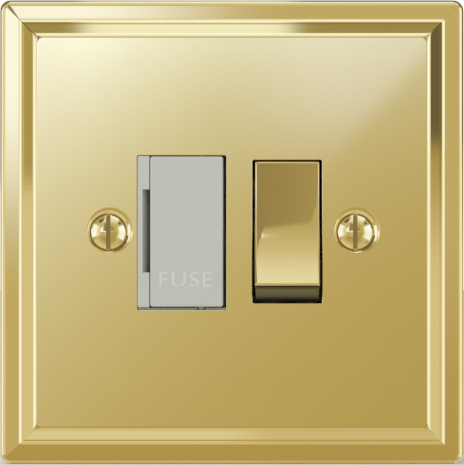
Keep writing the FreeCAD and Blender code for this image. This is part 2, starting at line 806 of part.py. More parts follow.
def rocker_body():
    """The moulded rocker: end skirts below the cap's rim, keel, side pins and plunger posts."""
    under = skirt_radius * sin(radians(skirt_end_angle))
    skirts = rocker_core(skirt_relief).cut(cap_reach())
    core = rocker_core(cap_sheet)
    half = rocker_width / 2 - cap_sheet
    x0 = rocker_opening_x - half
    y = rocker_opening_y
    corners = [
        vec(x0, y - keel_half_top, pivot_z + under),
        vec(x0, y + keel_half_top, pivot_z + under),
        vec(x0, y + keel_half_bottom, pivot_z - keel_drop),
        vec(x0, y - keel_half_bottom, pivot_z - keel_drop),
    ]
    keel = Part.Face(Part.makePolygon(corners + corners[:1])).extrude(vec(2 * half, 0, 0))
    pin_end = rocker_width / 2 + rocker_side_gap + pin_seat - piece_fit
    pins = rod_x(rocker_pin_radius, rocker_opening_x - pin_end, rocker_opening_x + pin_end, y, pivot_z)
    posts = [rod(post_radius, x, y, pivot_z - post_end, pivot_z) for x in (live_x, neutral_x)]
    body = joined([core, skirts, keel, pins] + posts)
    for x in (live_x, neutral_x):
        body = body.cut(rod(plunger_radius + bore_fit, x, y, pivot_z - post_end, spring_end_z))
    return body


def plunger(x):
    """A round-ended pin that its spring pushes out of the rocker."""
    y = rocker_opening_y
    tip = pivot_z - plunger_reach
    pin = rod(plunger_radius, x, y, tip + plunger_radius, tip + plunger_length)
    return pin.fuse(Part.makeSphere(plunger_radius, vec(x, y, tip + plunger_radius))).removeSplitter()


def plunger_spring(x):
    """The coil spring between a plunger and the end of its bore."""
    low = pivot_z - plunger_reach + plunger_length + spring_wire
    rise = spring_length - 2 * spring_wire
    helix = Part.makeHelix(rise / spring_turns, rise, spring_radius)
    helix.translate(vec(x, rocker_opening_y, low))
    start = vec(x + spring_radius, rocker_opening_y, low)
    section = Part.Wire(Part.makeCircle(spring_wire, start, vec(0, 1, 0)))
    return Part.Wire(helix.Edges).makePipeShell([section], True, True)


def rocker_at_rest(shape):
    """Tips a part of the rocker to the off position, lower end out."""
    shape.rotate(vec(0, rocker_opening_y, pivot_z), vec(1, 0, 0), -rocker_tilt)
    return shape


def carrier_flap():
    flap = slab(
        flap_right - flap_left, flap_top - flap_bottom, flap_corner, flap_x, flap_y, flap_back, flap_front)
    return flap.makeFillet(flap_edge_round, edges_where(flap, lambda e: level_at(e, flap_front)))


def fuse_carrier():
    """The flap, the cradle that grips the fuse behind it, and the two cheeks with the hinge pins."""
    grip = fuse_radius - fuse_cap_wall
    half = grip + cradle_wall
    cradle = box(
        fuse_x - half, fuse_x + half, flap_y - cradle_length / 2, flap_y + cradle_length / 2,
        fuse_z - cradle_wrap, flap_back)
    cradle = cradle.cut(rod_y(grip + pin_fit, fuse_x, flap_y - cradle_length, flap_y + cradle_length, fuse_z))
    shapes = [carrier_flap(), cradle]
    for side, wall_y in ((1, bay_top), (-1, bay_bottom)):
        inner = flap_y + side * (fuse_length / 2 + bay_gap)
        outer = inner + side * cheek
        pin_end = wall_y + side * (pin_seat - piece_fit)
        low_y = min(inner, outer)
        shapes.append(box(fuse_x - half, hinge_x, low_y, low_y + cheek, hinge_z - cheek_drop, flap_back))
        shapes.append(rod_y(hinge_pin_radius + cheek / 2, hinge_x, low_y, low_y + cheek, hinge_z - cheek / 2))
        shapes.append(rod_y(hinge_pin_radius, hinge_x, min(inner, pin_end), max(inner, pin_end), hinge_z))
    return joined(shapes)


def fuse_tube():
    radius = fuse_radius - fuse_cap_wall
    half = fuse_length / 2 - fuse_cap_wall
    return rod_y(radius, fuse_x, flap_y - half, flap_y + half, fuse_z)


def fuse_cap(side):
    """A metal end cap, a cup over one end of the tube."""
    end = flap_y + side * fuse_length / 2
    mouth = end - side * fuse_cap_length
    cap = rod_y(fuse_radius, fuse_x, min(end, mouth), max(end, mouth), fuse_z)
    return cap.cut(fuse_tube())


def stand_up(shape):
    shape.rotate(vec(0, 0, 0), vec(1, 0, 0), 90)
    return shape


def pieces():
    """Every piece of the unit, by the name of its file."""
    made = {
        "face_plate": face_plate(),
        "front_moulding": front_moulding(),
        "rear_base": rear_base(),
        "supply_live_terminal": supply_terminal(supply_live_x, live_x),
        "supply_neutral_terminal": supply_terminal(supply_neutral_x, neutral_x),
        "supply_earth_terminal": terminal_block(earth_x, -terminal_y),
        "load_live_terminal": load_live_terminal(),
        "load_neutral_terminal": load_neutral_terminal(),
        "load_earth_terminal": terminal_block(earth_x, terminal_y),
        "fuse_link": fuse_link(),
        "earth_strap": earth_strap_shape(0),
        "rocker_cap": rocker_at_rest(rocker_cap()),
        "rocker_body": rocker_at_rest(rocker_body()),
        "fuse_carrier": fuse_carrier(),
        "fuse_tube": fuse_tube(),
        "fuse_cap_upper": fuse_cap(1),
        "fuse_cap_lower": fuse_cap(-1),
    }
    for side, x in fixing_places.items():
        made["fixing_screw_" + side] = fixing_screw(x)
    for place, (x, y) in housing_screw_places.items():
        made["housing_screw_" + place] = housing_screw(x, y)
    for name, (x, y) in terminal_places.items():
        made[name + "_screw"] = terminal_screw(x, y)
    for pole, x in (("live", live_x), ("neutral", neutral_x)):
        made[pole + "_contact_bar"] = bar_at_rest(contact_bar(x))
        made[pole + "_moving_contact"] = bar_at_rest(moving_tip(x))
        made[pole + "_fixed_contact"] = contact_button(x, contact_line_y, strap_top, fixed_tip_height, 1)
        made[pole + "_plunger"] = rocker_at_rest(plunger(x))
        made[pole + "_plunger_spring"] = rocker_at_rest(plunger_spring(x))
    return made


os.makedirs("parts", exist_ok=True)
for name, shape in pieces().items():
    stand_up(shape).exportStep("parts/" + name + ".step")
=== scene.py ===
import json
from math import asin, atan, copysign, cos, pi, radians, sin, sqrt, tan

import bmesh
import bpy
from mathutils import Matrix, Vector


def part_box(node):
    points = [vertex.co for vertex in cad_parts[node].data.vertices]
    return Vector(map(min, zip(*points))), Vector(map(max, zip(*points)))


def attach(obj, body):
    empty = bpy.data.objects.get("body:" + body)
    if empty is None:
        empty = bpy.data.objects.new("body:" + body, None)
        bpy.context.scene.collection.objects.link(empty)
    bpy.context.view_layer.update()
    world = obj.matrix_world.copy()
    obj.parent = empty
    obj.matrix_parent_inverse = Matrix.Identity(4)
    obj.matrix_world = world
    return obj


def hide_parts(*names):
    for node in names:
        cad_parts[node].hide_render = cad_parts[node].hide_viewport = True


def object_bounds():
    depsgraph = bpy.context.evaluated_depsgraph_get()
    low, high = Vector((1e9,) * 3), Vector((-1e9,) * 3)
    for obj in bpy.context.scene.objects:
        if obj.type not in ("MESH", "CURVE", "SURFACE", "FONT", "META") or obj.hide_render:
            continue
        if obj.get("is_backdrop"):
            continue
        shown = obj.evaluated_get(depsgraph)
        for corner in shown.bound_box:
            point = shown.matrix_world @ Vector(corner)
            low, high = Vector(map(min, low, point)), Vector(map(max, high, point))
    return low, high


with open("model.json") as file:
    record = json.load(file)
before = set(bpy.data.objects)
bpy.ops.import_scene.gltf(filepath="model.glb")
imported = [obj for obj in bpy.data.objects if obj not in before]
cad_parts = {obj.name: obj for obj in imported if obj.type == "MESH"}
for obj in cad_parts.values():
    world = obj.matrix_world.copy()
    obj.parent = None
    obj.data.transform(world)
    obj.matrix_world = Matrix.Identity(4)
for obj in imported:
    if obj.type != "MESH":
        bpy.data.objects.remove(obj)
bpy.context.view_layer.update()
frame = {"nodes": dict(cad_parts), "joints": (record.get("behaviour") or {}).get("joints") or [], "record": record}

bl_info = {
    "name": "Switched fused spur unit",
    "version": (1, 0, 0),
    "blender": (4, 5, 0),
    "location": "View3D > Sidebar > Spur unit",
    "description": "Dresses the packed spur unit with its brass plate, rocker, fuse flap and finishes",
    "category": "Object",
}

# Sizes are in millimetres until a mesh is finished. The settings and the stage hold metres.
MM = 0.001
PLATE_LOW, PLATE_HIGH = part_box("face_plate")
PLATE_SIDE = (PLATE_HIGH.x - PLATE_LOW.x) / MM
FIELD_HEIGHT = -PLATE_LOW.y / MM

BRASS = (0.87, 0.68, 0.28)
# Brass tones painted as shade on the rocker's lower end and skirt: dim olive, then near black.
PAINTED_SHADE_BRASS = (0.15, 0.14, 0.055)
PAINTED_DEEP_SHADE_BRASS = (0.035, 0.033, 0.02)
TENT_GAIN = 4.0


def linear(code):
    """The linear colour of a hex code, such as "BEBFB6"."""
    parts = [int(code[i:i + 2], 16) / 255 for i in (0, 2, 4)]
    return tuple(c / 12.92 if c < 0.04045 else ((c + 0.055) / 1.055) ** 2.4 for c in parts)


def shown_by(code):
    """The light that polished brass shows as a colour code."""
    return tuple(seen / own for seen, own in zip(linear(code), BRASS))


def boxed(code):
    """The same light for the outer tent, where it is held at a share of its strength."""
    return tuple(part / TENT_GAIN for part in shown_by(code))


def half_turns(*degrees):
    """Angles as shares of half a turn."""
    return [degree / 180 for degree in degrees]


def size_property(name, description, default):
    return bpy.props.FloatProperty(
        name=name, description=description, default=default * MM, unit="LENGTH", precision=5)


def angle_property(name, description, default):
    return bpy.props.FloatProperty(
        name=name, description=description, default=radians(default), subtype="ANGLE")


def colour_property(name, description, default):
    return bpy.props.FloatVectorProperty(
        name=name, description=description, default=default, size=3, subtype="COLOR", min=0, max=4)


class SpurPlateSettings(bpy.types.PropertyGroup):
    side: size_property("Side", "Width and height of the plate", PLATE_SIDE)
    corner: size_property("Corner", "Radius of the plate's corners, seen from the front", 2.2)
    sheet: size_property("Sheet", "Thickness of the brass sheet", 0.9)
    edge_round: size_property("Edge round", "Radius of the rim's outer edge", 0.67)
    edge_sweep: size_property("Edge sweep", "Radius of the slow turn just inside the outer edge", 9.0)
    edge_lean: angle_property("Edge lean", "Slope where the outer edge starts to turn down", 14.0)
    rim_low: size_property("Rim low", "Height where the rim's line would meet the outer edge", 2.483)
    rim_width: size_property("Rim width", "Width of the sloping rim", 3.8)
    rim_slope: angle_property("Rim slope", "Slope of the rim", 9.5)
    foot_radius: size_property("Foot radius", "Hollow radius at the foot of the step", 2.0)
    foot_slope: angle_property("Foot slope", "Steepest slope, just above the foot of the step", 44.0)
    ease_radius: size_property("Ease radius", "Radius where the steep foot eases into the step", 2.0)
    step_slope: angle_property("Step slope", "Slope of the step up to the field", 35.71)
    shoulder_radius: size_property("Shoulder radius", "Radius at the top of the step", 2.4)
    crest_radius: size_property("Crest radius", "Tighter radius where the step meets the field", 0.6)
    crest_turn: angle_property("Crest turn", "Slope where the tighter radius ends", 10.0)
    field_inset: size_property("Field inset", "Distance from the plate's edge to its flat field", 7.8)
    dish_radius: size_property("Dish radius", "Outer radius of the dish round a fixing screw", 4.5)
    dish_shift: size_property("Dish shift", "How far each dish stands right of and above its screw", 0.36)
    seat_radius: size_property("Seat radius", "Radius of the dish at the screw head", 3.8)
    dish_depth: size_property("Dish depth", "Depth of the dish at the screw head", 0.45)
    hole_radius: size_property("Hole radius", "Radius of the fixing hole", 1.95)
    opening_corner: size_property("Opening corner", "Corner radius of the two openings", 0.4)
    opening_edge: size_property("Opening edge", "Radius rolled on the edges of the openings", 0.16)
    fuse_width: size_property("Fuse opening width", "Width of the fuse opening", 18.35)
    fuse_height: size_property("Fuse opening height", "Height of the fuse opening", 31.8)
    fuse_x: size_property("Fuse opening X", "Centre of the fuse opening", -10.33)
    fuse_z: size_property("Fuse opening Z", "Centre of the fuse opening", -0.15)
    rocker_width: size_property("Rocker opening width", "Width of the rocker opening", 14.3)
    rocker_height: size_property("Rocker opening height", "Height of the rocker opening", 29.5)
    rocker_x: size_property("Rocker opening X", "Centre of the rocker opening", 11.4)
    rocker_z: size_property("Rocker opening Z", "Centre of the rocker opening", 0.1)


class SpurScrewSettings(bpy.types.PropertyGroup):
    head_radius: size_property("Head radius", "Radius of a fixing screw's head", 3.7)
    dome: size_property("Dome", "Height of the domed head above its rim", 0.85)
    sink: size_property("Sink", "Depth of the head's rim below the plate's field", 0.45)
    slot_width: size_property("Slot width", "Width of the screwdriver slot", 0.9)
    slot_depth: size_property("Slot depth", "Depth of the screwdriver slot", 1.3)
    neck_radius: size_property("Neck radius", "Radius of the plain neck", 1.4)
    crest_radius: size_property("Crest radius", "Radius over the thread", 1.75)
    thread_start: size_property("Thread start", "Where the thread starts behind the wall plane", 0.6)
    thread_length: size_property("Thread length", "Length of the thread", 20.0)
    pitch: size_property("Pitch", "Pitch of the thread", 0.6)


class SpurRockerSettings(bpy.types.PropertyGroup):
    width: size_property("Width", "Width of the rocker", 13.3)
    half_length: size_property("Half length", "Half the length of the rocker's face", 12.78)
    reach: size_property("Reach", "Height of the face's ends above the pivot", 10.19)
    dip: size_property("Dip", "Depth of the hollow in the face", 0.85)
    tilt: angle_property("Tilt", "Tilt of the rocker at rest", 9.6)
    rim_turn: angle_property("Rim turn", "How far the rim at each end turns down round the pivot", 4.1)
    edge_round: size_property("Edge round", "Radius of the rocker's edges", 0.25)
    crown: size_property("Crown", "How far the face falls towards its sides", 0.04)
    roll: size_property("Roll", "How far the face rolls off just inside its sides", 0.09)
    roll_width: size_property("Roll width", "Width of the roll-off at each side", 1.75)


class SpurFinishSettings(bpy.types.PropertyGroup):
    brass: colour_property("Brass", "Colour of the polished brass", BRASS)
    grey: colour_property("Grey moulding", "Colour of the flap and front moulding", linear("C2C3BA"))
    base: colour_property("Rear base", "Colour of the rear base", linear("C9C9C4"))
    dark: colour_property("Rocker moulding", "Colour of the rocker's body", (0.022, 0.021, 0.018))
    # The skirt's olive tone next to the brass face, where its painted shade starts before it fades darker into the
    # opening.
    skirt: colour_property("Rocker skirt", "Colour of the rocker's end skirts", PAINTED_SHADE_BRASS)


class SpurStageSettings(bpy.types.PropertyGroup):
    distance: bpy.props.FloatProperty(
        name="Camera distance", description="From the wall plane to the camera", default=1.0, unit="LENGTH")
    pixels_per_mm: bpy.props.FloatProperty(
        name="Scale", description="Pixels of the photograph for a millimetre of the plate", default=4.844)


class Wire:
    """A shader socket that Python arithmetic works on, one Math node for each step."""

    def __init__(self, tree, socket):
        self.tree = tree
        self.socket = socket

    def __add__(self, other):
        return self.tree.math("ADD", self, other)

    def __radd__(self, other):
        return self.tree.math("ADD", other, self)

    def __sub__(self, other):
        return self.tree.math("SUBTRACT", self, other)

    def __rsub__(self, other):
        return self.tree.math("SUBTRACT", other, self)

    def __mul__(self, other):
        return self.tree.math("MULTIPLY", self, other)

    def __rmul__(self, other):
        return self.tree.math("MULTIPLY", other, self)

    def __truediv__(self, other):
        return self.tree.math("DIVIDE", self, other)

    def __neg__(self):
        return self.tree.math("MULTIPLY", self, -1.0)

    def __abs__(self):
        return self.tree.math("ABSOLUTE", self)


class Tree:
    """A node tree that is written as calls."""

    def __init__(self, owner):
        owner.use_nodes = True
        self.nodes = owner.node_tree.nodes
        self.links = owner.node_tree.links
        self.nodes.clear()

    def add(self, kind, settings=None, *ordered, output=0, **named):
        """Adds a node: its settings first, then values or wires for its sockets."""
        node = self.nodes.new(kind)
        for key, value in (settings or {}).items():
            if key == "stops":
                self.fill_ramp(node.color_ramp, value)
            else:
                setattr(node, key, value)
        pairs = list(enumerate(ordered)) + [(key.replace("_", " "), value) for key, value in named.items()]
        for key, value in pairs:
            socket = self.socket(node.inputs, key)
            if isinstance(value, Wire):
                self.links.new(value.socket, socket)
            elif value is not None:
                socket.default_value = self.fitted(socket, value)
        return Wire(self, self.socket(node.outputs, output)) if node.outputs else None

    def socket(self, sockets, key):
        """A socket that is in use, by its place or its name."""
        if isinstance(key, int):
            return [s for s in sockets if s.enabled][key]
        return [s for s in sockets if s.enabled and s.name == key][0]

    def fitted(self, socket, value):
        if socket.type == "RGBA" and len(value) == 3:
            return (*value, 1.0)
        return value

    def fill_ramp(self, ramp, stops):
        while len(ramp.elements) > 1:
            ramp.elements.remove(ramp.elements[0])
        ramp.elements[0].position = stops[0][0]
        ramp.elements[0].color = stops[0][1]
        for place, colour in stops[1:]:
            ramp.elements.new(place).color = colour

    def math(self, operation, *terms):
        return self.add("ShaderNodeMath", {"operation": operation}, *terms)

    def clamp(self, value, limit):
        return self.add("ShaderNodeClamp", None, value, -limit, limit)

    def ramp(self, place, stops):
        return self.add("ShaderNodeValToRGB", {"stops": stops}, place)

    def parts(self, vector):
        """The X, Y and Z of a vector."""
        split = self.add("ShaderNodeSeparateXYZ", None, vector)
        return [Wire(self, socket) for socket in split.socket.node.outputs]

    def step(self, value, low, high):
        """0 below low, 1 above high, with a smooth turn between them."""
        return self.add("ShaderNodeMapRange", {"interpolation_type": "SMOOTHSTEP"},
                        Value=value, From_Min=low, From_Max=high, To_Min=0.0, To_Max=1.0)

    def between(self, value, low, high, soft):
        """1 between low and high, with a smooth turn at each end."""
        return self.step(value, low - soft, low + soft) * (1 - self.step(value, high - soft, high + soft))

    def mix(self, share, first, second, way="MIX"):
        """A colour between two colours, or the second added to or multiplied with the first."""
        return self.add("ShaderNodeMix", {"data_type": "RGBA", "blend_type": way},
                        Factor=share, A=first, B=second)

    def tint(self, colour, amount):
        """A colour made lighter or darker by a number."""
        grey = self.add("ShaderNodeCombineColor", None, amount, amount, amount)
        return self.mix(1.0, colour, grey, "MULTIPLY")

    def place(self):
        return self.add("ShaderNodeTexCoord", output="Object")

    def stretched(self, x, y, z):
        return self.add("ShaderNodeMapping", {"vector_type": "POINT"}, Vector=self.place(), Scale=(x, y, z))

    def noise(self, scale, detail=3.0, vector=None):
        return self.add("ShaderNodeTexNoise", {"noise_dimensions": "3D"}, Vector=vector or self.place(),
                        Scale=scale, Detail=detail, Roughness=0.5, output="Fac")

    def bump(self, height, strength, distance):
        return self.add("ShaderNodeBump", None, Strength=strength, Distance=distance, Height=height)

    def surface(self, **sockets):
        shader = self.add("ShaderNodeBsdfPrincipled", None, **sockets)
        self.add("ShaderNodeOutputMaterial", None, Surface=shader)


def new_material(name):
    material = bpy.data.materials.new(name)
    return material, Tree(material)


def polished_brass(name, colour, rough):
    """Mirror-polished brass with faint polishing haze; the clear lacquer over it is left out."""
    material, tree = new_material(name)
    haze = tree.noise(120.0, 4.0)
    streaks = tree.noise(700.0, 3.0, tree.stretched(1.0, 1.0, 9.0))
    tree.surface(
        Base_Color=tree.tint(colour, 0.985 + haze * 0.03), Metallic=1.0,
        Roughness=rough + (haze * 0.5 + streaks * 0.5) * rough * 0.5,
        Normal=tree.bump(streaks, 0.02, 0.02 * MM))
    return material


# Heights at rest where painted shade covers the rocker's lower end, dim and then dark below the face's edge, and
# where painted shade darkens its skirt further down the opening.
CAP_RIM_PAINTED_SHADE = (-11.02, -10.92)
CAP_RIM_PAINTED_SHADE_DEEP = (-11.34, -11.20)
SKIRT_PAINTED_SHADE_FADE = (-14.2, -12.2)


def capped_brass_with_painted_shade(name, colour, rough):
    """Polished brass of the rocker's face, with painted shade on the rim below its lower edge, dim and then dark.
    """
    material, tree = new_material(name)
    height = tree.parts(tree.place())[2] / MM
    # Below the face's lower edge the base colour is painted shade, for the gap under the lip and the opening.
    rim = 1 - tree.step(height, *CAP_RIM_PAINTED_SHADE)
    deep = 1 - tree.step(height, *CAP_RIM_PAINTED_SHADE_DEEP)
    lines = tree.noise(1100.0, 3.0, tree.stretched(1.0, 1.0, 9.0))
    painted_shade_tone = tree.mix(deep, PAINTED_DEEP_SHADE_BRASS, PAINTED_SHADE_BRASS)
    tree.surface(
        Base_Color=tree.mix(rim, tree.tint(colour, 0.985 + lines * 0.03), painted_shade_tone), Metallic=1.0,
        Roughness=rough + rim * 0.25 + lines * 0.01, Normal=tree.bump(lines, 0.02, 0.02 * MM))
    return material


# Depths below the plate's field between which painted shade falls on a fixing screw's slot and sunken rim.
SCREW_PAINTED_SHADE = (0.42, 1.3)
SCREW_PAINTED_SHADE_SOFT = 0.06


def slotted_brass_with_painted_shade(name, colour, deep, rough):
    """Polished brass that is duller, and brown with painted shade, where the slot and the rim lie deep."""
    material, tree = new_material(name)
    depth = tree.parts(tree.place())[1] / MM + FIELD_HEIGHT
    # The depth band whose base colour is painted shade.
    below = tree.between(depth, *SCREW_PAINTED_SHADE, SCREW_PAINTED_SHADE_SOFT)
    lines = tree.noise(1400.0, 3.0, tree.stretched(1.0, 1.0, 6.0))
    tree.surface(
        Base_Color=tree.mix(below, tree.tint(colour, 0.97 + lines * 0.06), deep), Metallic=1.0,
        Roughness=rough + below * 0.3 + lines * 0.02, Normal=tree.bump(lines, 0.03, 0.02 * MM))
    return material


def worked_metal(name, colour, rough, clouds, lines, patina=None):
    """Machined, rolled or plated metal with fine lines along its own direction."""
    material, tree = new_material(name)
    line = tree.noise(1.0, 4.0, tree.stretched(*lines))
    cloud = tree.noise(clouds, 4.0)
    tone = tree.tint(colour, 0.9 + line * 0.2)
    if patina:
        tone = tree.mix(tree.step(cloud, 0.45, 0.75) * 0.35, tone, patina)
    tree.surface(
        Base_Color=tone, Metallic=1.0, Roughness=rough + (line - 0.5) * 0.16 + (cloud - 0.5) * 0.12,
        Normal=tree.bump(line, 0.12, 0.03 * MM))
    return material


def moulded(name, colour, rough, grain=2600.0, depth=0.01):
    """Moulded plastic: a very fine spark-eroded skin and slight flow shading."""
    material, tree = new_material(name)
    skin = tree.noise(grain, 2.0)
    flow = tree.noise(90.0, 2.0)
    tree.surface(
        Base_Color=tree.tint(colour, 0.975 + flow * 0.05), Roughness=rough + (skin - 0.5) * 0.14,
        Normal=tree.bump(skin, 0.25, depth * MM))
    return material


def moulding_with_painted_shade(name, near, far, rough):
    """The rocker's dark moulding, with painted shade by height: its skirt olive near the brass face and darker
    deep in the opening.
    """
    material, tree = new_material(name)
    height = tree.parts(tree.place())[2] / MM
    skin = tree.noise(2200.0, 2.0)
    # The base colour fades by height, as painted shade, from the skirt tone to the body's own dark colour.
    tree.surface(
        Base_Color=tree.mix(tree.step(height, *SKIRT_PAINTED_SHADE_FADE), far, near),
        Roughness=rough + (skin - 0.5) * 0.1, Normal=tree.bump(skin, 0.2, 0.01 * MM))
    return material


def glazed_ceramic(name, colour, fleck):
    """Glazed ceramic with slight clouding and a few brown flecks."""
    material, tree = new_material(name)
    speck = tree.noise(1700.0, 2.0)
    cloud = tree.noise(220.0, 3.0)
    tone = tree.mix(tree.step(speck, 0.62, 0.74) * 0.35, tree.tint(colour, 0.95 + cloud * 0.1), fleck)
    tree.surface(Base_Color=tone, Roughness=0.22 + cloud * 0.12, Normal=tree.bump(cloud, 0.1, 0.03 * MM))
    return material


def finishes(look):
    """Every finish, by the record's material slot."""
    brass, grey, base = tuple(look.brass), tuple(look.grey), tuple(look.base)
    return {
        "plate_brass": polished_brass("polished plate brass", brass, 0.024),
        "cap_brass": capped_brass_with_painted_shade("polished rocker brass", brass, 0.05),
        # The screw's second colour is painted shade for its slot and sunken rim.
        "screw_brass": slotted_brass_with_painted_shade("polished screw brass", (0.86, 0.68, 0.29), (0.46, 0.34, 0.13), 0.035),
        "terminal_brass": worked_metal(
            "machined terminal brass", (0.70, 0.50, 0.20), 0.30,
            clouds=260.0, lines=(9000.0, 900.0, 900.0), patina=(0.36, 0.23, 0.09)),
        "strap_copper_alloy": worked_metal(
            "rolled strap alloy", (0.74, 0.47, 0.24), 0.32,
            clouds=200.0, lines=(900.0, 900.0, 7000.0), patina=(0.40, 0.20, 0.09)),
        "grey_moulding": moulded("light grey moulding", grey, 0.42),
        "base_moulding": moulded("rear base moulding", base, 0.52, grain=1800.0, depth=0.02),
        "rocker_moulding": moulding_with_painted_shade(
            "dark rocker moulding", tuple(look.skirt), tuple(look.dark), 0.32),
        "spring_steel": worked_metal(
            "drawn spring wire", (0.52, 0.53, 0.54), 0.22, clouds=500.0, lines=(3000.0, 3000.0, 600.0)),
        "plated_steel": worked_metal(
            "zinc plated steel", (0.60, 0.61, 0.63), 0.34,
            clouds=300.0, lines=(5000.0, 900.0, 5000.0), patina=(0.42, 0.42, 0.38)),
        "silver_alloy": worked_metal(
            "silver alloy", (0.84, 0.82, 0.78), 0.25, clouds=900.0, lines=(2500.0, 2500.0, 2500.0)),
        "fuse_ceramic": glazed_ceramic("fuse ceramic", (0.78, 0.74, 0.64), (0.45, 0.40, 0.31)),
        "fuse_plating": worked_metal(
            "fuse cap plating", (0.72, 0.70, 0.66), 0.16, clouds=400.0, lines=(1500.0, 6000.0, 1500.0)),
    }


class SPUR_OT_finishes(bpy.types.Operator):
    """Makes every finish and gives each carried-over piece its own"""
    bl_idname = "spur.finishes"
    bl_label = "Finishes"

    def execute(self, context):
        made = finishes(context.scene.spur_finish)
        for slot, material in made.items():
            context.scene["spur_" + slot] = material.name
        slots = {row["node"]: row["material_slot"] for row in frame["record"]["subparts"]}
        for name, piece in frame["nodes"].items():
            piece.data.materials.clear()
            piece.data.materials.append(made[slots[name]])
        return {"FINISHED"}


def made_finish(slot):
    """The finish that the finishes step made for a material slot."""
    return bpy.data.materials[bpy.context.scene["spur_" + slot]]


def finish_mesh(bm, name, body, slot, sharp, stands_for=(), look=None, flat=()):
    """Turns a mesh drawn in millimetres into a finished piece that rides on its body.

    Edges that turn by more than sharp degrees stay sharp, and so do those round the flat faces.
    """
    bmesh.ops.recalc_face_normals(bm, faces=bm.faces)
    bmesh.ops.scale(bm, verts=bm.verts, vec=(MM, MM, MM))
    for face in bm.faces:
        face.smooth = True
    for edge in bm.edges:
        edge.smooth = len(edge.link_faces) == 2 and edge.calc_face_angle(0.0) < radians(sharp)
        if len({face in flat for face in edge.link_faces}) == 2:
            edge.smooth = False
    mesh = bpy.data.meshes.new(name)
    bm.to_mesh(mesh)
    bm.free()
    piece = bpy.data.objects.new(name, mesh)
    bpy.context.scene.collection.objects.link(piece)
    mesh.materials.append(look or made_finish(slot))
    weighted = piece.modifiers.new("even shading", "WEIGHTED_NORMAL")
    weighted.keep_sharp = True
    weighted.weight = 100
    weighted.thresh = 0.0001
    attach(piece, body)
    if stands_for:
        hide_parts(*stands_for)
    return piece


def upright(bm, verts, x, depth, z, from_behind=False):
    """Stands a flat outline up in the plate's plane, at a depth in front of the wall."""
    turn = Matrix.Rotation(pi / 2, 3, "X")
    if from_behind:
        turn = Matrix.Rotation(pi, 3, "Z") @ turn
    bmesh.ops.rotate(bm, verts=verts, cent=(0, 0, 0), matrix=turn)
    bmesh.ops.translate(bm, verts=verts, vec=(x, -depth, z))


def square_ring(bm, width, height, corner, x, z, depth, segments=6):
    """The edges of a rectangle with round corners."""
    verts = bmesh.ops.create_grid(bm, x_segments=1, y_segments=1, size=0.5)["verts"]
    bmesh.ops.scale(bm, verts=verts, vec=(width, height, 1))
    old = set(bm.faces) - set(verts[0].link_faces)
    bmesh.ops.bevel(bm, geom=verts, offset=corner, offset_type="OFFSET", segments=segments, profile=0.5,
                    affect="VERTICES", material=-1)
    face = [f for f in bm.faces if f not in old][0]
    edges, corners = list(face.edges), list(face.verts)
    bmesh.ops.delete(bm, geom=[face], context="FACES_ONLY")
    upright(bm, corners, x, depth, z)
    return edges


def round_ring(bm, radius, x, z, depth, segments=72):
    """The edges of a circle."""
    verts = bmesh.ops.create_circle(bm, cap_ends=False, segments=segments, radius=radius)["verts"]
    edges = list({edge for vert in verts for edge in vert.link_edges})
    upright(bm, verts, x, depth, z)
    return edges


def bridge(bm, rings):
    """Joins a row of rings with faces, each to the next."""
    for first, second in zip(rings, rings[1:]):
        bmesh.ops.bridge_loops(bm, edges=first + second)


def arc_shares(count):
    """Even steps along an arc, without its start and with its end."""
    return [(index + 1) / count for index in range(count)]


# Corner radii of the pressing, from its rim inwards.
RIM_CORNER = 0.4
STEP_CORNER = 0.15
SHOULDER_CORNER = 0.3
FIELD_CORNER = 1.1


def plate_sections(plate):
    """The plate's outside as (inset, height, corner) from the wall to the field."""
    edge, rim, foot = plate.edge_round / MM, plate.rim_width / MM, plate.foot_radius / MM
    ease, shoulder, crest = plate.ease_radius / MM, plate.shoulder_radius / MM, plate.crest_radius / MM
    inset, corner, sweep = plate.field_inset / MM, plate.corner / MM, plate.edge_sweep / MM
    slope, lean, turn = plate.rim_slope, plate.edge_lean, plate.crest_turn
    turn_end = edge * (1 - sin(lean))
    sweep_end = turn_end + sweep * (sin(lean) - sin(slope))
    sweep_top = plate.rim_low / MM + sweep_end * tan(slope)
    turn_top = sweep_top - sweep * (cos(slope) - cos(lean))
    wall_top = turn_top - edge * cos(lean)
    chamfer, chamfer_height = 0.1, 0.12
    rows = [(chamfer, 0.0, corner - chamfer), (0.0, chamfer_height, corner), (0.0, wall_top, corner)]
    for share in arc_shares(8):
        angle = share * (pi / 2 - lean)
        reach = edge * (1 - cos(angle))
        rows.append((reach, wall_top + edge * sin(angle), corner - reach))
    for share in arc_shares(5):
        angle = lean + share * (slope - lean)
        reach = turn_end + sweep * (sin(lean) - sin(angle))
        height = turn_top + sweep * (cos(angle) - cos(lean))
        rows.append((reach, height, max(corner - reach, RIM_CORNER)))
    rim_end = plate.rim_low / MM + rim * tan(slope)
    rows.append((rim, rim_end, STEP_CORNER))
    for share in arc_shares(14):
        angle = slope + share * (plate.foot_slope - slope)
        reach = rim + foot * (sin(angle) - sin(slope))
        rows.append((reach, rim_end + foot * (cos(slope) - cos(angle)), STEP_CORNER))
    foot_end, foot_top = rows[-1][0], rows[-1][1]
    for share in arc_shares(6):
        angle = plate.foot_slope + share * (plate.step_slope - plate.foot_slope)
        reach = foot_end + ease * (sin(plate.foot_slope) - sin(angle))
        rows.append((reach, foot_top + ease * (cos(angle) - cos(plate.foot_slope)), STEP_CORNER))
    for share in reversed([0.0] + arc_shares(12)):
        angle = turn + share * (plate.step_slope - turn)
        reach = inset - crest * sin(turn) - shoulder * (sin(angle) - sin(turn))
        fall = crest * (1 - cos(turn)) + shoulder * (cos(turn) - cos(angle))
        growth = (FIELD_CORNER - SHOULDER_CORNER) * (1 - share)
        rows.append((reach, FIELD_HEIGHT - fall, SHOULDER_CORNER + growth))
    for share in (0.66, 0.33, 0.0):
        angle = share * turn
        rows.append((inset - crest * sin(angle), FIELD_HEIGHT - crest * (1 - cos(angle)), FIELD_CORNER))
    return rows


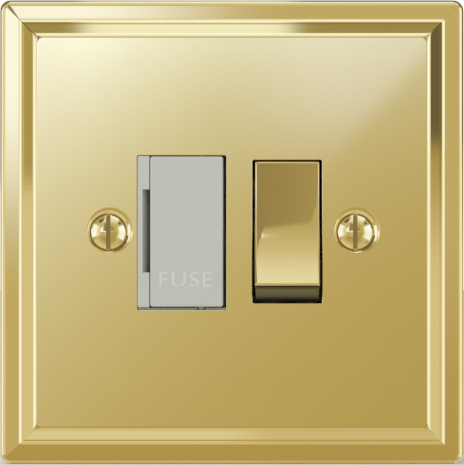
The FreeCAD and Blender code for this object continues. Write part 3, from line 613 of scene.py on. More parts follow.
def plate_back_sections(plate):
    """The hollow behind the plate, one sheet thickness under its front."""
    sheet = plate.sheet / MM
    rim_tan, step_tan = tan(plate.rim_slope), tan(plate.step_slope)
    rim_back = plate.rim_low / MM + sheet * rim_tan - sheet / cos(plate.rim_slope)
    step_back = FIELD_HEIGHT - sheet / cos(plate.step_slope)
    shoulder_mid = (plate.field_inset - plate.shoulder_radius * tan(plate.step_slope / 2)) / MM
    meet = (rim_back - step_back - sheet * rim_tan + shoulder_mid * step_tan) / (step_tan - rim_tan)
    top = shoulder_mid + (FIELD_HEIGHT - sheet - step_back) / step_tan
    corner, step_corner, field_corner = plate.corner / MM - sheet, 0.5, 0.6
    lip = 0.05
    return [
        (sheet, lip, corner), (sheet, rim_back, corner),
        (meet, rim_back + (meet - sheet) * rim_tan, step_corner), (top, FIELD_HEIGHT - sheet, field_corner)]


def opening_rings(bm, plate, width, height, x, z):
    """A pressed opening from the front, with a small rolled edge, to the back of the sheet."""
    edge, sheet = plate.opening_edge / MM, plate.sheet / MM
    corner = plate.opening_corner / MM
    rings = []
    for share in [0.0] + arc_shares(5):
        grow = edge * (1 - sin(share * pi / 2))
        fall = edge * (1 - cos(share * pi / 2))
        rings.append(square_ring(
            bm, width + 2 * grow, height + 2 * grow, corner + grow, x, z, FIELD_HEIGHT - fall))
    rings.append(square_ring(bm, width, height, corner, x, z, FIELD_HEIGHT - sheet + edge / 2))
    rings.append(square_ring(bm, width + edge, height + edge, corner, x, z, FIELD_HEIGHT - sheet))
    return rings


def dish_rings(bm, plate, x):
    """The pressed dish round a fixing screw, through its hole and along the back of the dimple."""
    lip, seat, hole = plate.dish_radius / MM, plate.seat_radius / MM, plate.hole_radius / MM
    shift, sheet = plate.dish_shift / MM, plate.sheet / MM
    bottom = FIELD_HEIGHT - plate.dish_depth / MM
    slant = sheet * sqrt(2)
    spread, chamfer, ledge = 0.25, 0.1, 0.14
    wide = lip + spread
    rows = []
    for share in [0.0] + arc_shares(10):
        rows.append((wide + share * (seat - wide), FIELD_HEIGHT + (bottom - FIELD_HEIGHT) * share ** 2))
    rows += [(seat - chamfer, bottom - ledge), (hole + chamfer, bottom - seat + hole + chamfer)]
    rows += [(hole, bottom - seat + hole), (hole, bottom - seat + hole - slant)]
    rows += [(seat + sheet, bottom - slant + sheet), (lip + sheet, FIELD_HEIGHT - sheet)]
    rings = []
    for radius, height in rows:
        aside = shift * min(1.0, max(0.0, (radius - seat) / (wide - seat)))
        rings.append(round_ring(bm, radius, x + aside, aside, height))
    return rings


def screw_x(side):
    """Where a fixing screw stands, from the middle of the plate."""
    low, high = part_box("fixing_screw_" + side)
    return (low.x + high.x) / 2 / MM


class SPUR_OT_face_plate(bpy.types.Operator):
    """Makes the stepped brass face plate"""
    bl_idname = "spur.face_plate"
    bl_label = "Face plate"

    def execute(self, context):
        plate = context.scene.spur_plate
        bm = bmesh.new()
        front = self.shell(bm, plate, plate_sections(plate))
        back = self.shell(bm, plate, plate_back_sections(plate))
        bridge(bm, [front[0], back[0]])
        holes = self.holes(bm, plate)
        flat = set()
        for end, outline in ((0, front[-1]), (-1, back[-1])):
            edges = list(outline)
            for rings in holes:
                edges += rings[end]
            made = bmesh.ops.triangle_fill(bm, use_beauty=True, use_dissolve=False, edges=edges)
            flat.update(item for item in made["geom"] if isinstance(item, bmesh.types.BMFace))
        finish_mesh(bm, "brass_face_plate", "unit", "plate_brass", 40.0, ["face_plate"], flat=flat)
        return {"FINISHED"}

    def shell(self, bm, plate, sections):
        """One side of the pressing, as a row of square rings joined by faces."""
        side = plate.side / MM
        rings = [square_ring(bm, side - 2 * inset, side - 2 * inset, corner, 0, 0, height, 8)
                 for inset, height, corner in sections]
        bridge(bm, rings)
        return rings

    def holes(self, bm, plate):
        """The two openings and the two screw holes, each as its rings from front to back."""
        holes = [
            opening_rings(bm, plate, plate.fuse_width / MM, plate.fuse_height / MM,
                          plate.fuse_x / MM, plate.fuse_z / MM),
            opening_rings(bm, plate, plate.rocker_width / MM, plate.rocker_height / MM,
                          plate.rocker_x / MM, plate.rocker_z / MM)]
        for side in ("left", "right"):
            holes.append(dish_rings(bm, plate, screw_x(side)))
        for rings in holes:
            bridge(bm, rings)
        return holes


# Depth of the thread and where its crest starts and ends, as shares of its pitch.
THREAD_DEPTH = 0.61
THREAD_CREST = (0.44, 0.56)


def turned_bar(bm, profile, x, z, segments=64):
    """A solid of revolution along the depth, from (radius, depth) points, closed at both ends."""
    rings = [round_ring(bm, radius, x, z, depth, segments) for radius, depth in profile]
    bridge(bm, rings)
    for edges in (rings[0], rings[-1]):
        bmesh.ops.edgeloop_fill(bm, edges=edges)


def cut_by_box(piece, low, high):
    """Cuts a box, given by two corners in millimetres, out of a piece for good."""
    bm = bmesh.new()
    verts = bmesh.ops.create_cube(bm, size=1.0)["verts"]
    bmesh.ops.scale(bm, verts=verts, vec=(Vector(high) - Vector(low)) * MM)
    bmesh.ops.translate(bm, verts=verts, vec=(Vector(high) + Vector(low)) / 2 * MM)
    mesh = bpy.data.meshes.new("cutter")
    bm.to_mesh(mesh)
    bm.free()
    cutter = bpy.data.objects.new("cutter", mesh)
    bpy.context.scene.collection.objects.link(cutter)
    cut = piece.modifiers.new("slot", "BOOLEAN")
    cut.object = cutter
    cut.operation = "DIFFERENCE"
    cut.solver = "EXACT"
    dependencies = bpy.context.evaluated_depsgraph_get()
    cut_mesh = bpy.data.meshes.new_from_object(piece.evaluated_get(dependencies), depsgraph=dependencies)
    piece.modifiers.remove(cut)
    piece.data = cut_mesh
    bpy.data.objects.remove(cutter)


def screw_profile(screw):
    """Half the outline of a fixing screw, as (radius, depth) points from the top of its dome."""
    head, dome, neck = screw.head_radius / MM, screw.dome / MM, screw.neck_radius / MM
    rim = FIELD_HEIGHT - screw.sink / MM
    top = rim + dome
    ball = (head ** 2 + dome ** 2) / (2 * dome)
    start, end = -screw.thread_start / MM, -(screw.thread_start + screw.thread_length) / MM
    root = (screw.crest_radius - THREAD_DEPTH * screw.pitch) / MM
    dome_ease, edge_ease, edge_top, edge_low = 0.06, 0.04, 0.05, 0.12
    neck_ease, neck_drop, neck_end = 0.1, 0.15, 0.1
    point_length, point_ease = 0.5, 0.4
    under = rim - head + neck
    points = []
    for share in arc_shares(14):
        radius = share * (head - dome_ease)
        points.append((radius, top - ball + sqrt(ball ** 2 - radius ** 2)))
    points += [(head, rim - edge_top), (head - edge_ease, rim - edge_low), (neck + neck_ease, under)]
    points += [(neck, under - neck_drop), (neck, start + neck_end), (root, start)]
    points += [(root, end + point_length), (root - point_ease, end)]
    return points


def thread(bm, screw, x):
    """A thread ridge wound round the shank."""
    crest, pitch = screw.crest_radius / MM, screw.pitch / MM
    start, length = screw.thread_start / MM, screw.thread_length / MM
    sunk, steps = 0.1, 20
    base = crest - THREAD_DEPTH * pitch - sunk
    turns = int(length / pitch) - 1
    points = [(base, 0.0), *((crest, share * pitch) for share in THREAD_CREST), (base, pitch)]
    verts = [bm.verts.new((x + radius, start + depth, 0)) for radius, depth in points]
    face = bm.faces.new(verts)
    bmesh.ops.spin(bm, geom=[face, *verts, *face.edges], cent=(x, 0, 0), axis=(0, 1, 0),
                   dvec=(0, pitch / steps, 0), angle=2 * pi * turns, steps=steps * turns, use_duplicate=False)


class SPUR_OT_fixing_screws(bpy.types.Operator):
    """Makes the two domed fixing screws"""
    bl_idname = "spur.fixing_screws"
    bl_label = "Fixing screws"

    def execute(self, context):
        screw = context.scene.spur_screw
        half, past = screw.slot_width / MM / 2, screw.head_radius / MM + 1
        top = FIELD_HEIGHT + (screw.dome - screw.sink) / MM
        slot_floor = -top + screw.slot_depth / MM
        for side in ("left", "right"):
            x = screw_x(side)
            bm = bmesh.new()
            turned_bar(bm, screw_profile(screw), x, 0.0)
            piece = finish_mesh(
                bm, "domed_screw_" + side, "unit", "screw_brass", 35.0, ["fixing_screw_" + side])
            cut_by_box(piece, (x - half, -top - 1, -past), (x + half, slot_floor, past))
            ridge = bmesh.new()
            thread(ridge, screw, x)
            finish_mesh(ridge, "screw_thread_" + side, "unit", "screw_brass", 30.0)
        return {"FINISHED"}


class SPUR_OT_rocker(bpy.types.Operator):
    """Makes the dished brass face of the rocker, with a short rim at each end"""
    bl_idname = "spur.rocker"
    bl_label = "Rocker"

    # Steps along the hollow face, and the distances from its middle where it is divided for its roll-off.
    FACE_STEPS = 48
    ROLL_LINES = (0.0, 1.5, 3.0, 4.0, 4.6, 5.0, 5.3, 5.6, 5.9, 6.1)

    def execute(self, context):
        rocker = context.scene.spur_rocker
        half, length, reach = rocker.width / MM / 2, rocker.half_length / MM, rocker.reach / MM
        dip = rocker.dip / MM
        radius = (length ** 2 + dip ** 2) / (2 * dip)
        sweep = 2 * atan(dip / length)
        centre = (0, -(reach - dip + radius), 0)
        bm = bmesh.new()
        first = bm.verts.new((-half, -reach, -length))
        bmesh.ops.spin(bm, geom=[first], cent=centre, axis=(1, 0, 0), angle=2 * sweep, steps=self.FACE_STEPS,
                       use_duplicate=False)
        self.close_back(bm, rocker, centre)
        self.widen(bm, half)
        self.shape_face(bm, rocker, half, centre, radius)
        self.set_at_rest(bm, rocker)
        finish_mesh(bm, "rocker_brass_face", "rocker", "cap_brass", 32.0, ["rocker_cap"])
        return {"FINISHED"}

    def close_back(self, bm, rocker, centre):
        """Turns the ends of the face line down as a short rim and closes the back behind the face."""
        for vert in [v for v in bm.verts if len(v.link_edges) == 1]:
            way = 1 if vert.co.z > 0 else -1
            bmesh.ops.spin(bm, geom=[vert], cent=(0, 0, 0), axis=(1, 0, 0), angle=-way * rocker.rim_turn,
                           steps=2, use_duplicate=False)
        low, high = sorted((v for v in bm.verts if len(v.link_edges) == 1), key=lambda v: v.co.z)
        reach = (low.co - Vector((low.co.x, centre[1], 0))).length
        bmesh.ops.spin(bm, geom=[low], cent=centre, axis=(1, 0, 0), angle=2 * asin(high.co.z / reach),
                       steps=self.FACE_STEPS, use_duplicate=False)
        bmesh.ops.remove_doubles(bm, verts=bm.verts, dist=0.05)

    def widen(self, bm, half):
        """Draws the outline out to the rocker's width and closes its two sides."""
        made = bmesh.ops.extrude_edge_only(bm, edges=list(bm.edges))
        verts = [g for g in made["geom"] if isinstance(g, bmesh.types.BMVert)]
        bmesh.ops.translate(bm, verts=verts, vec=(2 * half, 0, 0))
        for side in (-half, half):
            rim = [e for e in bm.edges if len(e.link_faces) == 1
                   and all(abs(v.co.x - side) < 0.001 for v in e.verts)]
            bmesh.ops.edgeloop_fill(bm, edges=rim)

    def shape_face(self, bm, rocker, half, centre, radius):
        """Rounds the edges, then gives the face its crown and its roll-off at the sides."""
        edge = rocker.edge_round / MM
        bmesh.ops.recalc_face_normals(bm, faces=bm.faces)
        sides = [e for e in bm.edges if e.calc_face_angle(0.0) > radians(25)
                 and any(f.normal.y < -0.9 for f in e.link_faces)]
        bmesh.ops.bevel(bm, geom=sides, offset=edge, offset_type="OFFSET", segments=5, profile=0.5,
                        affect="EDGES", material=-1, clamp_overlap=True)
        for place in self.ROLL_LINES:
            for side in (-1, 1):
                bmesh.ops.bisect_plane(bm, geom=list(bm.verts) + list(bm.edges) + list(bm.faces), dist=0.0001,
                                       plane_co=(side * place, 0, 0), plane_no=(1, 0, 0))
        roll_width = rocker.roll_width / MM
        on_face = radius + edge + 0.05
        for vert in bm.verts:
            across = abs(vert.co.x)
            fall = rocker.crown / MM * (across / half) ** 2
            fall += rocker.roll / MM * max(0.0, (across - half + roll_width) / roll_width) ** 2
            if Vector((0, vert.co.y - centre[1], vert.co.z)).length < on_face:
                vert.co.y += fall

    def set_at_rest(self, bm, rocker):
        """Moves the rocker from the origin to its pivot and tilts it as the photograph shows it."""
        joint = [j for j in frame["joints"] if j["name"] == "rocker_tilt"][0]
        pivot = [value / MM for value in joint["pos_m"]]
        bmesh.ops.translate(bm, verts=bm.verts, vec=(pivot[0], pivot[1], pivot[2]))
        bmesh.ops.rotate(bm, verts=bm.verts, cent=pivot, matrix=Matrix.Rotation(-rocker.tilt, 3, "X"))


def lettering(name, words, size, fit, proud):
    """Plain letters as a thin mesh, lying flat and fitted to a width and a height."""
    curve = bpy.data.curves.new(name, "FONT")
    curve.body = words
    curve.size = size
    curve.align_x = "CENTER"
    curve.align_y = "CENTER"
    curve.extrude = proud / 2
    curve.bevel_depth = proud / 4
    curve.bevel_resolution = 1
    curve.space_character = 1.12
    source = bpy.data.objects.new(name, curve)
    mesh = bpy.data.meshes.new_from_object(source)
    bpy.data.objects.remove(source)
    bm = bmesh.new()
    bm.from_mesh(mesh)
    bmesh.ops.remove_doubles(bm, verts=bm.verts, dist=0.0001)
    for axis in (0, 1):
        places = [vert.co[axis] for vert in bm.verts]
        low, high = min(places), max(places)
        middle, stretch = Vector((0, 0, 0)), Vector((1, 1, 1))
        middle[axis] = -(high + low) / 2
        stretch[axis] = fit[axis] / (high - low)
        bmesh.ops.translate(bm, verts=bm.verts, vec=middle)
        bmesh.ops.scale(bm, verts=bm.verts, vec=stretch)
    return bm


class SPUR_OT_fuse_lettering(bpy.types.Operator):
    """Adds the plain word on the fuse flap"""
    bl_idname = "spur.fuse_lettering"
    bl_label = "Fuse lettering"

    WORD_X, WORD_Z = -9.42, -9.76
    WORD_FIT = (10.95, 3.1)

    def execute(self, context):
        flap_height = -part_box("fuse_carrier")[0].y / MM
        bm = lettering("fuse_lettering", "FUSE", 4.3, self.WORD_FIT, 0.05)
        upright(bm, bm.verts, self.WORD_X, flap_height, self.WORD_Z)
        look = moulded("fuse lettering", linear("D2D4CC"), 0.35)
        finish_mesh(bm, "fuse_lettering", "fuse_holder", "grey_moulding", 30.0, look=look)
        return {"FINISHED"}


class SPUR_OT_terminal_marks(bpy.types.Operator):
    """Adds the raised letters beside the terminal screws, on the back of the base"""
    bl_idname = "spur.terminal_marks"
    bl_label = "Terminal marks"

    MARKS = {"live": ("L", 1.5), "neutral": ("N", 1.9), "earth": ("E", 1.5)}
    MARK_HEIGHT = 2.3
    MARK_SHIFT = 4.6

    def execute(self, context):
        back = -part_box("rear_base")[1].y / MM
        for row in ("supply", "load"):
            for pole, (letter, width) in self.MARKS.items():
                low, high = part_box(row + "_" + pole + "_screw")
                x, z = (low.x + high.x) / 2 / MM, (low.z + high.z) / 2 / MM
                name = "mark_" + row + "_" + pole
                bm = lettering(name, letter, 3.0, (width, self.MARK_HEIGHT), 0.12)
                upright(bm, bm.verts, x, back, z - copysign(self.MARK_SHIFT, z), from_behind=True)
                finish_mesh(bm, name, "unit", "base_moulding", 30.0)
        return {"FINISHED"}


# The light tent is drawn by direction from the unit. Close to the axis, a direction is its run to the right
# and its rise, both over the distance ahead. A pair is where a smooth turn starts and ends.
TENT_RADIUS = 6.0
LEAST_AHEAD = 0.05
OUTER_START = half_turns(22.6, 24.0)

# The card that the flat field sees: how far down its fade a direction lies, and its colours along the fade.
FIELD_REACH = 0.056
FADE_START, FADE_RUN, FADE_RISE = 0.493, 5.49, 5.36
FADE_LOW = (0.44, 0.30, 0.07)
FADE_GAIN = (0.52, 0.61, 0.61)
FADE_RATE = (3.33, 3.33, 4.17)
HAZE = (0.126, 0.22, 0.57)
HAZE_TOP, HAZE_RATE = 0.0454, 58.8
HAZE_RUN = (-0.047, -0.033)
BLOOM = (0.115, 0.176, 0.57)
BLOOM_SLANT = 0.883
BLOOM_EDGE = (0.0062, 0.0108)
BLOOM_RUN = (-0.006, 0.028)
BLOOM_RISE = (0.008, 0.033)

# The ring round that card, which the sloping rims see.
RING_START = (0.16, 0.26)
RING_GOLD = shown_by("C0A762")
RING_LOW = shown_by("B1954D")
RING_LOW_FADE = (0.75, 1.10)
RING_WHITE = shown_by("FCF8DA")
RING_WHITE_FADE = (-0.03, 0.27)
RING_UNDER = shown_by("AF9349")
RIM_BAND = (0.398, 0.412)
RIM_BAND_SOFT = 0.0015
RIM_BAND_RUN = (0.060, 0.066)

# The dark card that the upper half of the rocker's hollow face sees, and the lit one above it.
CARD_LEFT = shown_by("968048")
CARD_RIGHT = shown_by("A48C4D")
CARD_TURN = (-0.02, 0.05)
CARD_START = (0.052, 0.060)
CARD_SLANT = 0.58
CARD_END = (0.362, 0.372)
LIT_CARD = ((0.0, "B49B58"), (0.367, "BAA45F"), (0.48, "CDBA7A"), (0.58, "DED096"), (0.68, "E6DCA8"),
            (0.8, "E9DFAE"))
ROCKER_START = (0.05, 0.056)
ROCKER_END = (0.72, 0.78)
ROCKER_RUN = (0.24, 0.34)

# Tones that the brass shows, from dark to light.
BROWN, OLIVE, BRONZE, UMBER, DARK_GOLD = "5A4822", "675A35", "806C30", "967732", "9C8846"
OLD_GOLD, GOLD, SOFT_GOLD, STRAW, BUTTER = "AC9149", "BEA560", "CBB573", "D5BF7F", "DCC888"
CREAM, PALE_CREAM, IVORY, WHITE = "E6D69E", "F2EABC", "F8F5D0", "FDFDE8"

# The boxes further out, which the steps and the edges see, as degrees off the axis and the tone shown there.
LEFT_UPPER = (
    (24, CREAM), (28, BUTTER), (32, CREAM), (37, IVORY), (50, IVORY), (61, PALE_CREAM), (66, STRAW),
    (69, OLD_GOLD), (74, OLD_GOLD), (83, GOLD), (90, SOFT_GOLD), (108, UMBER))
LEFT_LOWER = (
    (24, STRAW), (29, BUTTER), (35, PALE_CREAM), (40, WHITE), (55, IVORY), (61, CREAM), (65, SOFT_GOLD),
    (68, STRAW), (84, STRAW), (92, SOFT_GOLD), (108, BUTTER))
RIGHT_UPPER = (
    (24, GOLD), (27, BUTTER), (31, IVORY), (40, WHITE), (52, IVORY), (61, BUTTER), (67, BRONZE),
    (70, OLIVE), (74, OLIVE), (83, BRONZE), (92, OLIVE), (108, BROWN))
RIGHT_MIDDLE = (
    (24, GOLD), (27, BUTTER), (31, PALE_CREAM), (40, IVORY), (52, IVORY), (61, BUTTER), (67, OLD_GOLD),
    (74, OLD_GOLD), (83, UMBER), (92, UMBER), (108, BRONZE))
RIGHT_LOWER = (
    (24, GOLD), (27, BUTTER), (31, PALE_CREAM), (40, IVORY), (52, PALE_CREAM), (61, CREAM), (67, STRAW),
    (74, STRAW), (83, SOFT_GOLD), (92, GOLD), (108, OLD_GOLD))
TOP_MIDDLE = (
    (24, SOFT_GOLD), (29, SOFT_GOLD), (36, CREAM), (42, PALE_CREAM), (48, IVORY), (61, IVORY),
    (68, PALE_CREAM), (74, PALE_CREAM), (79, BUTTER), (85, GOLD), (92, STRAW), (108, OLD_GOLD))
TOP_ENDS = (
    (24, SOFT_GOLD), (34, BUTTER), (41, PALE_CREAM), (50, IVORY), (61, PALE_CREAM), (65, STRAW),
    (69, DARK_GOLD), (74, DARK_GOLD), (83, UMBER), (108, BRONZE), (130, BROWN))
BOTTOM_LEFT = (
    (21, OLD_GOLD), (26, OLD_GOLD), (33, GOLD), (42, STRAW), (52, STRAW), (63, SOFT_GOLD), (69, BUTTER),
    (74, BUTTER), (81, GOLD), (87, OLD_GOLD), (92, OLD_GOLD), (108, UMBER))
BOTTOM_RIGHT = (
    (21, OLD_GOLD), (26, OLD_GOLD), (33, GOLD), (42, SOFT_GOLD), (52, SOFT_GOLD), (63, GOLD),
    (69, SOFT_GOLD), (74, SOFT_GOLD), (81, GOLD), (87, OLD_GOLD), (92, OLD_GOLD), (108, UMBER))
GAPS = ((24, GOLD), (34, SOFT_GOLD), (52, OLD_GOLD), (70, BRONZE), (90, OLIVE), (120, BROWN))

# Where one box gives way to the next, by run to the right or rise.
LEFT_SPLIT = (0.008, 0.015)
RIGHT_UPPER_SPLIT = (0.018, 0.024)
RIGHT_MIDDLE_SPLIT = (-0.014, 0.021)
RIGHT_MIDDLE_START = half_turns(54, 64)
TOP_SPAN, TOP_SOFT = (-0.036, 0.0146), 0.004
BOTTOM_SPLIT = (-0.004, 0.012)

# Where each side's boxes lie round the axis, in degrees from the right, upwards positive, and how softly they
# end. The boxes on the left lie far from the bearing opposite to them.
BELOW = (-150, -48, 6)
ON_RIGHT = (-31, 27, 4)
ABOVE = (50, 104, 4)
LEFT_OPPOSITE = -6
LEFT_START = (152, 160)

# Dark spots low in the corners, and the tone that the corners of the step see.
SPOTS = ((112, 136, 5), (34, 44, 4))
SPOT_ANGLES = half_turns(35, 43, 2)
DARK_SPOT = boxed("645A32")
CORNER_LOW = boxed("D2BC7D")
CORNER_START = half_turns(51, 55)
CORNER_OFF_SIDES = (9, 13)
CORNER_SPLIT = (-0.1, 0.1)


def field_light(tree, run, rise, fall):
    """What the flat field sees: a card that fades to gold, with haze at its top and a bloom at its right."""
    parts = [(low + tree.math("EXPONENT", fall * -rate) * gain) / own
             for low, gain, rate, own in zip(FADE_LOW, FADE_GAIN, FADE_RATE, BRASS)]
    colour = tree.add("ShaderNodeCombineColor", None, *parts)
    haze = tree.math("EXPONENT", (rise - HAZE_TOP) * HAZE_RATE) * tree.step(run, *HAZE_RUN)
    colour = tree.mix(haze, colour, HAZE, "ADD")
    bloom = 1 - tree.step(run - rise * BLOOM_SLANT, *BLOOM_EDGE)
    bloom = bloom * tree.step(run, *BLOOM_RUN) * tree.step(rise, *BLOOM_RISE)
    return tree.mix(bloom, colour, BLOOM, "ADD")


def rocker_sees(tree, run, rise):
    """1 where the hollow face of the rocker looks."""
    in_height = tree.step(rise, *ROCKER_START) * (1 - tree.step(rise, *ROCKER_END))
    return in_height * (1 - tree.step(abs(run), *ROCKER_RUN))


def near_axis(tree, run, rise, rocker):
    """What the flat field, the rims and the face of the rocker see, in front of the unit."""
    inner_run, inner_rise = tree.clamp(run, FIELD_REACH), tree.clamp(rise, FIELD_REACH)
    fall = FADE_START + inner_run * FADE_RUN - inner_rise * FADE_RISE
    colour = field_light(tree, inner_run, inner_rise, fall)
    ring = tree.mix(tree.step(fall, *RING_LOW_FADE), RING_GOLD, RING_LOW)
    ring = tree.mix(1 - tree.step(fall, *RING_WHITE_FADE), ring, RING_WHITE)
    ring = tree.mix(tree.step(-rise, *RING_START), ring, RING_UNDER)
    reach = tree.math("MAXIMUM", abs(run), abs(rise))
    colour = tree.mix(tree.step(reach, *RING_START), colour, ring)
    card = tree.mix(tree.step(run, *CARD_TURN), CARD_LEFT, CARD_RIGHT)
    above = tree.step(rise + run * CARD_SLANT, *CARD_END)
    colour = tree.mix(tree.step(rise, *CARD_START) * (1 - above) * rocker, colour, card)
    lit = tree.ramp(rise, [(place, shown_by(code) + (1.0,)) for place, code in LIT_CARD])
    colour = tree.mix(above * rocker, colour, lit)
    band = tree.between(rise, *RIM_BAND, RIM_BAND_SOFT) * (1 - tree.step(abs(run), *RIM_BAND_RUN))
    return tree.mix(band, colour, ring)


def box_tones(tree, angle, stops):
    """The tones of a box, by the angle off the axis."""
    return tree.ramp(angle, [(degree / 180, boxed(code) + (1.0,)) for degree, code in stops])


def round_about(tree, right, up, angle):
    """The boxes and dark gaps further out, each side with its own run of tones."""
    bearing = tree.math("ARCTAN2", up, right) * (180 / pi)
    left_upper, left_lower = box_tones(tree, angle, LEFT_UPPER), box_tones(tree, angle, LEFT_LOWER)
    left = tree.mix(tree.step(up, *LEFT_SPLIT), left_lower, left_upper)
    middle = tree.step(up, *RIGHT_MIDDLE_SPLIT) * tree.step(angle, *RIGHT_MIDDLE_START)
    on_right = tree.mix(middle, box_tones(tree, angle, RIGHT_LOWER), box_tones(tree, angle, RIGHT_MIDDLE))
    on_right = tree.mix(tree.step(up, *RIGHT_UPPER_SPLIT), on_right, box_tones(tree, angle, RIGHT_UPPER))
    above = tree.mix(tree.between(right, *TOP_SPAN, TOP_SOFT),
                     box_tones(tree, angle, TOP_ENDS), box_tones(tree, angle, TOP_MIDDLE))
    below = tree.mix(tree.step(right, *BOTTOM_SPLIT),
                     box_tones(tree, angle, BOTTOM_LEFT), box_tones(tree, angle, BOTTOM_RIGHT))
    colour = box_tones(tree, angle, GAPS)
    colour = tree.mix(tree.between(bearing, *BELOW), colour, below)
    colour = tree.mix(tree.between(bearing, *ON_RIGHT), colour, on_right)
    colour = tree.mix(tree.between(bearing, *ABOVE), colour, above)
    colour = tree.mix(tree.step(abs(bearing - LEFT_OPPOSITE), *LEFT_START), colour, left)
    spots = tree.between(bearing, *SPOTS[0]) + tree.between(bearing, *SPOTS[1])
    colour = tree.mix(spots * tree.between(angle, *SPOT_ANGLES), colour, DARK_SPOT)
    off_sides = tree.math("PINGPONG", bearing + 360, 45.0)
    corner = tree.step(angle, *CORNER_START) * tree.step(off_sides, *CORNER_OFF_SIDES)
    corner_tone = tree.mix(tree.step(up, *CORNER_SPLIT), CORNER_LOW, DARK_SPOT)
    colour = tree.mix(corner, colour, corner_tone)
    return tree.mix(1.0, colour, (TENT_GAIN,) * 3, "MULTIPLY")


def tent_light():
    """The softboxes, flags and cards round the unit, drawn by direction from it."""
    material, tree = new_material("light tent")
    ray = tree.add("ShaderNodeVectorMath", {"operation": "NORMALIZE"}, tree.place())
    right, behind, up = tree.parts(ray)
    ahead = -behind
    safe = tree.math("MAXIMUM", ahead, LEAST_AHEAD)
    run, rise = right / safe, up / safe
    rocker = rocker_sees(tree, run, rise)
    angle = tree.math("ARCCOSINE", ahead) / pi
    outer = tree.step(angle, *OUTER_START) * (1 - rocker)
    colour = tree.mix(outer, near_axis(tree, run, rise, rocker), round_about(tree, right, up, angle))
    light = tree.add("ShaderNodeEmission", None, Color=colour, Strength=1.0)
    tree.add("ShaderNodeOutputMaterial", None, Surface=light)
    return material


def stage_piece(bm, name, material):
    """Turns a mesh into a piece of the stage, which isn't part of the unit."""
    mesh = bpy.data.meshes.new(name)
    bm.to_mesh(mesh)
    bm.free()
    mesh.materials.append(material)
    piece = bpy.data.objects.new(name, mesh)
    bpy.context.scene.collection.objects.link(piece)
    piece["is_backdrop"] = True
    return piece


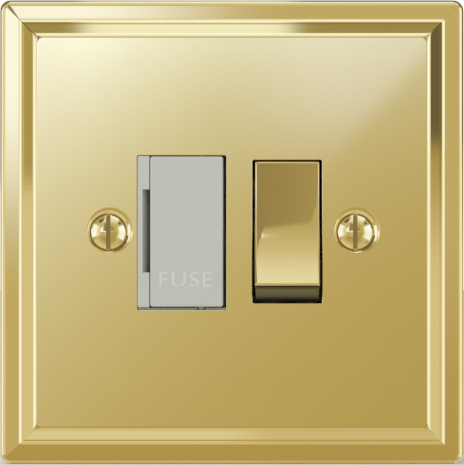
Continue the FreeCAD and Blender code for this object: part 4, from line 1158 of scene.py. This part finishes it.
class SPUR_OT_stage(bpy.types.Operator):
    """Sets the floor, the light tent, the lamp, the world and the camera"""
    bl_idname = "spur.stage"
    bl_label = "Stage"

    FLOOR_HALF = 3.0
    FLOOR_GAP = 0.05 * MM
    FLOOR_COLOUR = (0.95, 0.95, 0.94)
    LAMP_SIZE = (1.6, 1.2)
    LAMP_PLACE = (-1.1, -1.7, 1.6)
    LAMP_POWER = 26.0
    LAMP_COLOUR = (1.0, 0.985, 0.955)
    ROOM_LIGHT = 0.62
    CAMERA_X, CAMERA_Z = 0.04 * MM, -0.1 * MM
    SCALE_PLANE = 1.9 * MM
    SENSOR = 36.0
    PHOTO_PIXELS = 465

    def execute(self, context):
        self.floor()
        self.tent()
        self.lamp(context.scene)
        self.world(context.scene)
        self.camera(context.scene)
        context.scene.view_settings.view_transform = "Standard"
        return {"FINISHED"}

    def floor(self):
        material, tree = new_material("pale floor")
        tree.surface(Base_Color=tree.tint(self.FLOOR_COLOUR, 0.98 + tree.noise(3.0) * 0.03), Roughness=0.7)
        bm = bmesh.new()
        bmesh.ops.create_grid(bm, x_segments=8, y_segments=8, size=self.FLOOR_HALF)
        bmesh.ops.translate(bm, verts=bm.verts, vec=(0, 0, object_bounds()[0].z - self.FLOOR_GAP))
        stage_piece(bm, "pale_floor", material).visible_glossy = False

    def tent(self):
        bm = bmesh.new()
        bmesh.ops.create_uvsphere(bm, u_segments=48, v_segments=24, radius=TENT_RADIUS)
        tent = stage_piece(bm, "light_tent", tent_light())
        tent.visible_camera = False
        tent.visible_diffuse = False
        tent.visible_shadow = False
        tent.visible_transmission = False

    def lamp(self, scene):
        data = bpy.data.lights.new("key lamp", "AREA")
        data.shape = "RECTANGLE"
        data.size, data.size_y = self.LAMP_SIZE
        data.energy = self.LAMP_POWER
        data.color = self.LAMP_COLOUR
        lamp = bpy.data.objects.new("key lamp", data)
        scene.collection.objects.link(lamp)
        lamp.location = self.LAMP_PLACE
        lamp.rotation_euler = (-Vector(self.LAMP_PLACE)).to_track_quat("-Z", "Y").to_euler()
        lamp.visible_glossy = False

    def world(self, scene):
        """White to the camera and in reflections, and a softer light on the pieces."""
        world = bpy.data.worlds.new("studio")
        scene.world = world
        tree = Tree(world)
        rays = tree.add("ShaderNodeLightPath").socket.node.outputs
        seen = Wire(tree, rays["Is Camera Ray"])
        for kind in ("Is Glossy Ray", "Is Transmission Ray"):
            seen = tree.math("MAXIMUM", seen, Wire(tree, rays[kind]))
        strength = self.ROOM_LIGHT + seen * (1 - self.ROOM_LIGHT)
        light = tree.add("ShaderNodeBackground", None, Color=(1.0, 1.0, 1.0), Strength=strength)
        tree.add("ShaderNodeOutputWorld", None, Surface=light)

    def camera(self, scene):
        """A long lens square on to the plate, with the photograph's scale at the plane of the rim."""
        stage = scene.spur_stage
        data = bpy.data.cameras.new("camera")
        camera = bpy.data.objects.new("camera", data)
        scene.collection.objects.link(camera)
        camera.location = (self.CAMERA_X, -stage.distance, self.CAMERA_Z)
        camera.rotation_euler = (pi / 2, 0, 0)
        data.sensor_width = self.SENSOR
        millimetres_away = (stage.distance - self.SCALE_PLANE) / MM
        data.lens = stage.pixels_per_mm * self.SENSOR * millimetres_away / self.PHOTO_PIXELS
        data.clip_start, data.clip_end = 0.01, 30.0
        scene.camera = camera


class SPUR_PT_panel(bpy.types.Panel):
    """Lists the steps that dress the unit"""
    bl_idname = "SPUR_PT_panel"
    bl_label = "Spur unit"
    bl_space_type = "VIEW_3D"
    bl_region_type = "UI"
    bl_category = "Spur unit"

    def draw(self, context):
        for step in STEPS:
            self.layout.operator(step.bl_idname)


STEPS = (
    SPUR_OT_finishes, SPUR_OT_face_plate, SPUR_OT_fixing_screws, SPUR_OT_rocker,
    SPUR_OT_fuse_lettering, SPUR_OT_terminal_marks, SPUR_OT_stage,
)
SETTINGS = {
    "spur_plate": SpurPlateSettings,
    "spur_screw": SpurScrewSettings,
    "spur_rocker": SpurRockerSettings,
    "spur_finish": SpurFinishSettings,
    "spur_stage": SpurStageSettings,
}


def register():
    for cls in (*SETTINGS.values(), *STEPS, SPUR_PT_panel):
        bpy.utils.register_class(cls)
    for name, cls in SETTINGS.items():
        setattr(bpy.types.Scene, name, bpy.props.PointerProperty(type=cls))


def unregister():
    for name in SETTINGS:
        delattr(bpy.types.Scene, name)
    for cls in (SPUR_PT_panel, *reversed(STEPS), *reversed(list(SETTINGS.values()))):
        bpy.utils.unregister_class(cls)


def main():
    register()
    for step in STEPS:
        group, name = step.bl_idname.split(".")
        getattr(getattr(bpy.ops, group), name)()


if __name__ == "__main__":
    main()
